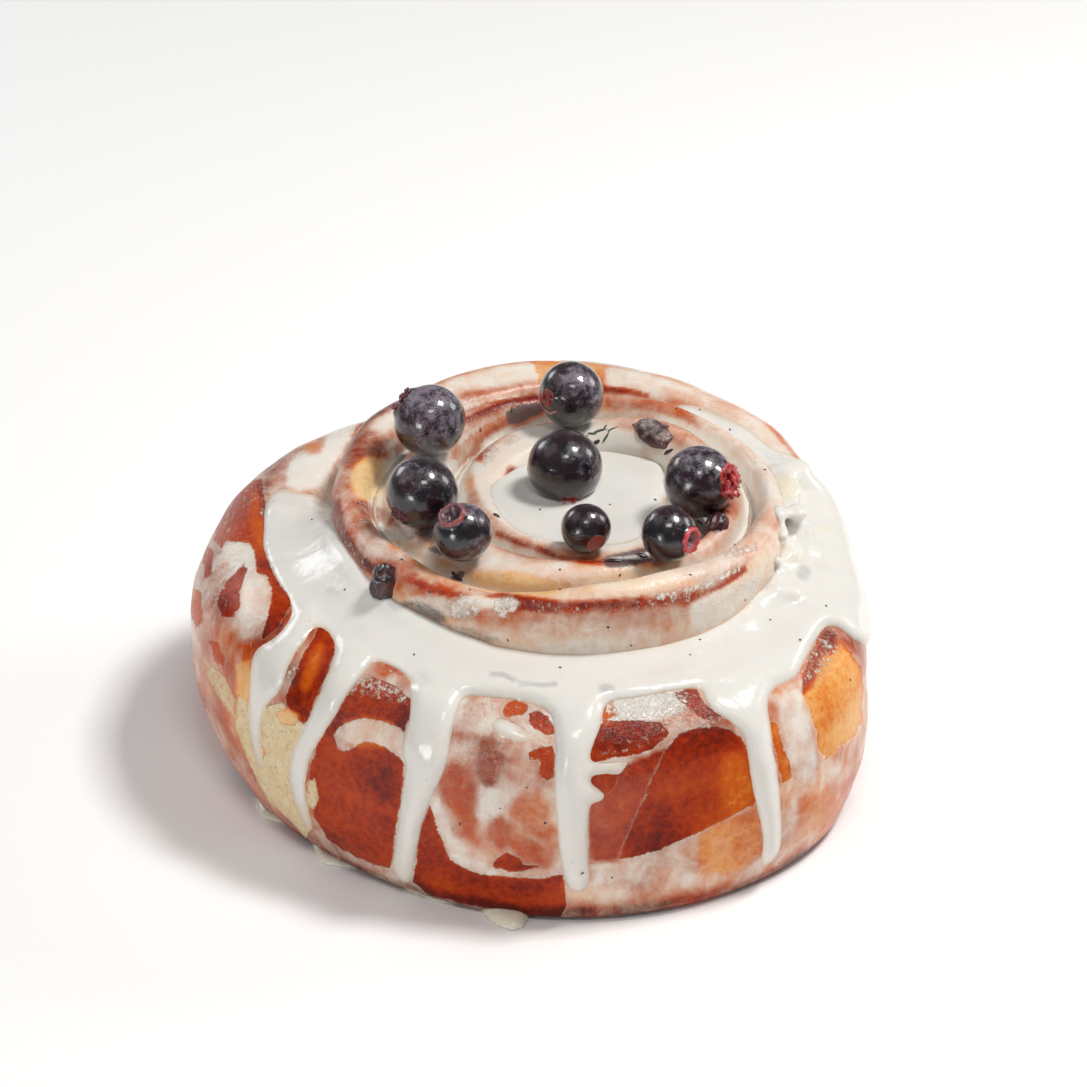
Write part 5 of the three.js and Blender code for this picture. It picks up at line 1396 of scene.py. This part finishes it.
def berry(name, centre, r, end, form, redness, bloom, bloom_side, seed):
    centre = np.array(centre) + SHIFT
    e = unit(np.array(end, float))
    u = unit(np.cross(e, [0.3, 0.2, 0.9]))
    w = np.cross(e, u)
    v, f = BALL5_V, BALL5_F
    a = np.arccos(np.clip(v @ e, -1, 1))
    az = np.arctan2(v @ w, v @ u)
    low, mid, fine = Lumps(seed, 2.3), Lumps(seed + 50, 7), Lumps(seed + 90, 21, 14)
    s = 1 + 0.014 * low(v) + 0.006 * mid(v) + 0.0016 * fine(v)
    s = s - 0.018 * np.cos(a) ** 2  # a little flat from stalk to flower
    ragged = 0.12 * np.sin(5 * az + seed) + 0.08 * np.sin(9 * az + 2.1 * seed) + 0.05 * np.sin(17 * az + seed)
    calyx = np.zeros(len(v))
    red = np.full(len(v), redness)
    if form == "scar":
        s += -0.07 * np.exp(-((a / 0.17) ** 2)) + 0.035 * np.exp(-(((a - 0.30) / 0.08) ** 2)) * (1 + 3 * ragged)
        calyx = 1 - smooth(a, 0.18 + 0.3 * ragged.clip(-0.2, 0.2), 0.30)
    elif form == "spot":
        s += -0.035 * np.exp(-((a / 0.30) ** 2)) + 0.022 * np.exp(-(((a - 0.44) / 0.06) ** 2)) + 0.05 * np.exp(-((a / 0.10) ** 2))
        calyx = 1 - smooth(a, 0.36, 0.47)
    elif form == "crack":
        s += -0.05 * np.exp(-((a / 0.14) ** 2)) + 0.03 * np.exp(-(((a - 0.27) / 0.08) ** 2)) * (1 + 2.5 * ragged)
        arc = np.abs(a - 0.52 - 0.05 * np.sin(2 * az)) < 0.045
        line = np.exp(-(((a - 0.50) / 0.05) ** 2)) * (np.cos(az - 1.2) > 0.25)
        s += 0.030 * line
        calyx = np.maximum(1 - smooth(a, 0.22, 0.36), 0.9 * line)
        red = np.where(a > 0.40, 1.0, redness * 0.6)
    elif form == "ring":
        rim = 0.155 * np.exp(-(((a - 0.40) / 0.085) ** 2)) * (1 + 1.0 * ragged)
        cup = -0.26 * (1 - smooth(a, 0.16, 0.34))
        s += rim + cup
        calyx = 1 - smooth(a, 0.44 + 0.25 * ragged, 0.56)
        red = redness + 0.30 * np.exp(-(((a - 0.43) / 0.07) ** 2)) - 0.55 * (1 - smooth(a, 0.22, 0.38))
    elif form in ("stub", "torn"):
        k = 0.40 if form == "stub" else 0.46
        s += 0.06 * np.exp(-(((a - k) / 0.11) ** 2)) * (1 + 2 * ragged) - 0.10 * (1 - smooth(a, 0.15, 0.35))
        calyx = 1 - smooth(a, k + 0.3 * ragged, k + 0.10)
        red = redness - 0.25 * (1 - smooth(a, 0.05, 0.25)) + 0.15 * low(v)
    p = v * (s * r)[:, None]
    verts, faces = [centre + p], [f]
    cal, rd = [calyx], [np.clip(red, 0, 1)]
    count = len(v)
    flaps = {"stub": 6, "torn": 9, "ring": 0, "crack": 3, "scar": 4, "spot": 0}[form]
    rs = np.random.RandomState(seed + 7)
    for i in range(flaps):
        t = 6.283 * (i + rs.uniform(-0.25, 0.25)) / flaps
        k = {"stub": 0.30, "torn": 0.36, "crack": 0.16, "scar": 0.14}[form]
        length = {"stub": 0.15, "torn": 0.20, "crack": 0.13, "scar": 0.13}[form] * r * rs.uniform(0.7, 1.25)
        width = {"stub": 0.24, "torn": 0.34, "crack": 0.14, "scar": 0.12}[form] * r
        out = unit(u * math.cos(t) + w * math.sin(t))
        base = centre + r * (e * math.cos(k) * (0.96 if form != "torn" else 0.94) + out * math.sin(k))
        pv, pf = petal(base, out, e, length, width, 0.34 if form == "torn" else 0.26, 1.0 if form == "torn" else 0.75, seed * 31 + i)
        verts.append(pv)
        faces.append(pf + count)
        count += len(pv)
        cal.append(np.ones(len(pv)))
        rd.append(np.clip(np.full(len(pv), redness) + rs.uniform(-0.15, 0.25), 0, 1))
    if form == "torn":  # wet red beads among the torn flaps
        sv, sf = ball(2)
        for i in range(16):
            t = rs.uniform(0, 6.283)
            k = 0.40 * math.sqrt(rs.uniform(0.0, 1.0))
            c = centre + r * (e * math.cos(k) * rs.uniform(0.96, 1.03) + (u * math.cos(t) + w * math.sin(t)) * math.sin(k))
            lump = Lumps(seed * 9 + i, 2.5)
            verts.append(c + sv * (1 + 0.25 * lump(sv))[:, None] * rs.uniform(0.08, 0.15) * r * rs.uniform(0.7, 1.2, (1, 3)))
            faces.append(sf + count)
            count += len(sv)
            cal.append(np.ones(len(sv)))
            rd.append(np.full(len(sv), np.clip(redness + rs.uniform(-0.1, 0.15), 0, 1)))
    p = np.concatenate(verts)
    ob = make_object(name.replace("berry_", "whole_berry_"), p, np.concatenate(faces), BERRY_LOOK)
    d = unit(p - centre)
    b = bloom * smooth(d @ unit(np.array(bloom_side, float)), -0.55, 0.85) + 0.16 * Lumps(seed + 3, 4)(d)
    attribute(ob, "paint_a", np.stack([np.concatenate(cal), np.clip(b, 0, 1), np.concatenate(rd)], 1))
    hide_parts(name)
    pieces.append(ob)


for i, row in enumerate(BERRIES):
    berry(*row, seed=i + 3)

# ------------------------------------------------------------------ crushed berries
CRUSHED = [
    ("crushed_berry_back", (20.1, 21.9, 45.4), (4.7, 2.7, 2.4), -38, 0.36, 0.35, 1),
    ("crushed_berry_left", (-22.4, -21.6, 42.6), (2.5, 1.9, 3.2), 40, 0.18, 0.05, 2),
    ("crushed_berry_right", (28.9, -6.4, 44.2), (2.3, 1.7, 1.9), 60, 0.10, 0.10, 3),
]
SKIN_LOOK = skin_look()


def crushed(name, centre, half, turn, film, red, seed):
    centre = np.array(centre) + SHIFT
    v, f = BALL5_V, BALL5_F
    low, mid, fine = Lumps(seed + 20, 2.6), Lumps(seed + 40, 6), Lumps(seed + 60, 15, 14)
    fold = 1 - np.abs(mid(v))  # sharp creases of collapsed skin
    s = 1 + 0.13 * low(v) + 0.16 * (fold - 0.6) + 0.03 * fine(v)
    p = v * s[:, None] * np.array(half)
    t = math.radians(turn)
    p[:, :2] = p[:, :2] @ np.array([[math.cos(t), math.sin(t)], [-math.sin(t), math.cos(t)]])
    ob = make_object(name.replace("crushed_berry_", "torn_berry_"), centre + p, f, SKIN_LOOK)
    top = smooth(v[:, 2], -0.2, 0.9)
    attribute(ob, "paint_a", np.stack([np.clip(film * (0.5 + 0.9 * top) + 0.35 * low(v) * film, 0, 1), np.clip(red + 0.35 * mid(v), 0, 1), np.zeros(len(v))], 1))
    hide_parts(name)
    pieces.append(ob)


for row in CRUSHED:
    crushed(*row)

# ------------------------------------------------------------------ scraps, specks and herb in the glaze
TOP = np.minimum(D, GL)


def on_top(px):
    hit = surface(px, TOP)
    if hit is None:
        return None, None
    return hit, unit(gradient(TOP, hit[None]))[0]


def flake(px, length, width, thick, turn, seed, lift=0.1):
    """A flat ragged scrap lying on the surface under a pixel of the photograph."""
    hit, nrm = on_top(px)
    if hit is None:
        return None
    v, f = ball(3)
    rs = np.random.RandomState(seed)
    ax = unit(np.cross(nrm, _f))
    ay = np.cross(nrm, ax)
    c, s = math.cos(math.radians(turn)), math.sin(math.radians(turn))
    ux, uy = ax * c + ay * s, ay * c - ax * s
    lump = Lumps(seed + 5, 3.2)
    k = 1 + 0.30 * lump(v) + 0.12 * Lumps(seed + 9, 8)(v)
    x, y, z = v[:, 0] * k * length / 2, v[:, 1] * k * width / 2, v[:, 2] * thick / 2
    z = z + 0.10 * length * (np.sin(2.2 * v[:, 0] + rs.uniform(0, 3)) - 0.4) * 0.4
    return hit + nrm * lift + ux * x[:, None] + uy * y[:, None] + nrm * z[:, None], f


def scatter(name, rows, look):
    verts, faces, count = [], [], 0
    for i, row in enumerate(rows):
        made = flake(*row, seed=100 + 7 * i)
        if made is None:
            continue
        verts.append(made[0])
        faces.append(made[1] + count)
        count += len(made[0])
    ob = make_object(name, np.concatenate(verts), np.concatenate(faces), look)
    pieces.append(ob)
    return ob


# photo pixel, length, width, thickness in mm, turn
scatter("skin_scraps", [
    ((457, 577), 2.3, 0.8, 0.35, 35), ((597, 442), 1.3, 0.7, 0.5, -20), ((497, 516), 1.3, 0.5, 0.3, -30), ((716, 528), 1.8, 0.9, 0.5, 30),
    ((388, 583), 2.0, 1.2, 0.6, 60), ((640, 428), 1.6, 0.8, 0.5, -30), ((668, 452), 1.8, 0.7, 0.4, -50), ((434, 529), 0.9, 0.5, 0.3, 10),
    ((615, 561), 3.6, 0.7, 0.4, 5), ((642, 556), 2.6, 0.7, 0.4, 8), ((660, 553), 1.2, 0.5, 0.3, 0)], SKIN_LOOK)
DOTS = [(527, 787), (500, 808), (545, 823), (460, 824), (582, 873), (612, 877), (850, 680), (826, 606), (608, 627), (631, 645), (745, 600), (700, 640),
        (414, 655), (430, 592), (560, 668), (690, 655), (765, 470), (730, 430), (508, 640), (365, 560), (345, 590), (312, 520), (470, 590), (560, 590),
        (690, 575), (735, 545), (560, 570), (620, 575), (540, 510), (655, 500), (610, 505), (770, 620), (800, 640), (402, 560), (480, 430), (700, 410)]
scatter("dark_specks", [((x, y), 0.32 + 0.05 * (i % 5), 0.26 + 0.04 * (i % 3), 0.2, 37 * i) for i, (x, y) in enumerate(DOTS)], speck_look())
scatter("herb_bits", [
    ((600, 431), 3.0, 0.42, 0.25, 5), ((607, 436), 2.3, 0.38, 0.22, 30), ((594, 434), 1.9, 0.34, 0.22, -18), ((613, 429), 1.8, 0.32, 0.2, 12), ((605, 428), 1.4, 0.4, 0.2, 60),
    ((700, 523), 1.3, 0.4, 0.2, 20), ((512, 409), 1.2, 0.5, 0.25, -30), ((586, 437), 1.1, 0.3, 0.2, 40)], herb_look())

for ob in pieces:
    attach(ob, "root")
print("triangles", {ob.name: tris(ob) for ob in pieces}, sum(tris(ob) for ob in pieces))

# ------------------------------------------------------------------ stage
floor_me = bpy.data.meshes.new("floor")
floor_me.from_pydata([(-4, -4, 0), (4, -4, 0), (4, 4, 0), (-4, 4, 0)], [], [(0, 1, 2, 3)])
floor = bpy.data.objects.new("floor", floor_me)
bpy.context.scene.collection.objects.link(floor)
floor_me.materials.append(floor_look())

cam_data = bpy.data.cameras.new("camera")
cam = bpy.data.objects.new("camera", cam_data)
bpy.context.scene.collection.objects.link(cam)
cam.location = Vector(CAM_POS * MM)
cam.rotation_euler = (Vector(CAM_AIM * MM) - cam.location).to_track_quat("-Z", "Y").to_euler()
cam_data.lens = FOCAL / 1087 * 36
cam_data.sensor_width = 36
cam_data.clip_start, cam_data.clip_end = 0.05, 20
bpy.context.scene.camera = cam


def area_light(name, at, aim, size, watts, rgb=(1, 1, 1)):
    data = bpy.data.lights.new(name, "AREA")
    data.shape = "RECTANGLE"
    data.size, data.size_y = size
    data.energy = watts
    data.color = rgb
    ob = bpy.data.objects.new(name, data)
    bpy.context.scene.collection.objects.link(ob)
    ob.location = Vector(at)
    ob.rotation_euler = (Vector(aim) - ob.location).to_track_quat("-Z", "Y").to_euler()
    return ob


area_light("key", (0.36, 0.02, 0.74), (0, 0, 0.02), (0.17, 0.17), 4.5, (1.0, 0.985, 0.965))
area_light("side", (0.67, 0.27, 0.36), (0, 0, 0.03), (0.24, 0.24), 1.2)
area_light("top", (0.04, -0.42, 0.76), (0, 0, 0.02), (0.22, 0.12), 1.1)
area_light("left", (-0.46, 0.05, 0.66), (0, 0, 0.02), (0.5, 0.5), 0.5)
area_light("front", (-0.45, -0.62, 0.12), (0, 0, 0.03), (0.18, 0.18), 1.25)
area_light("back", (-0.50, 0.50, 0.34), (0, 0, 0.03), (0.26, 0.18), 0.8, (0.94, 0.97, 1.0))
world = bpy.data.worlds.new("world")
world.use_nodes = True
world.node_tree.nodes["Background"].inputs["Color"].default_value = (1, 1, 1, 1)
world.node_tree.nodes["Background"].inputs["Strength"].default_value = 0.18
bpy.context.scene.world = world
view = bpy.context.scene.view_settings
view.view_transform = "Standard"
view.look = "None"
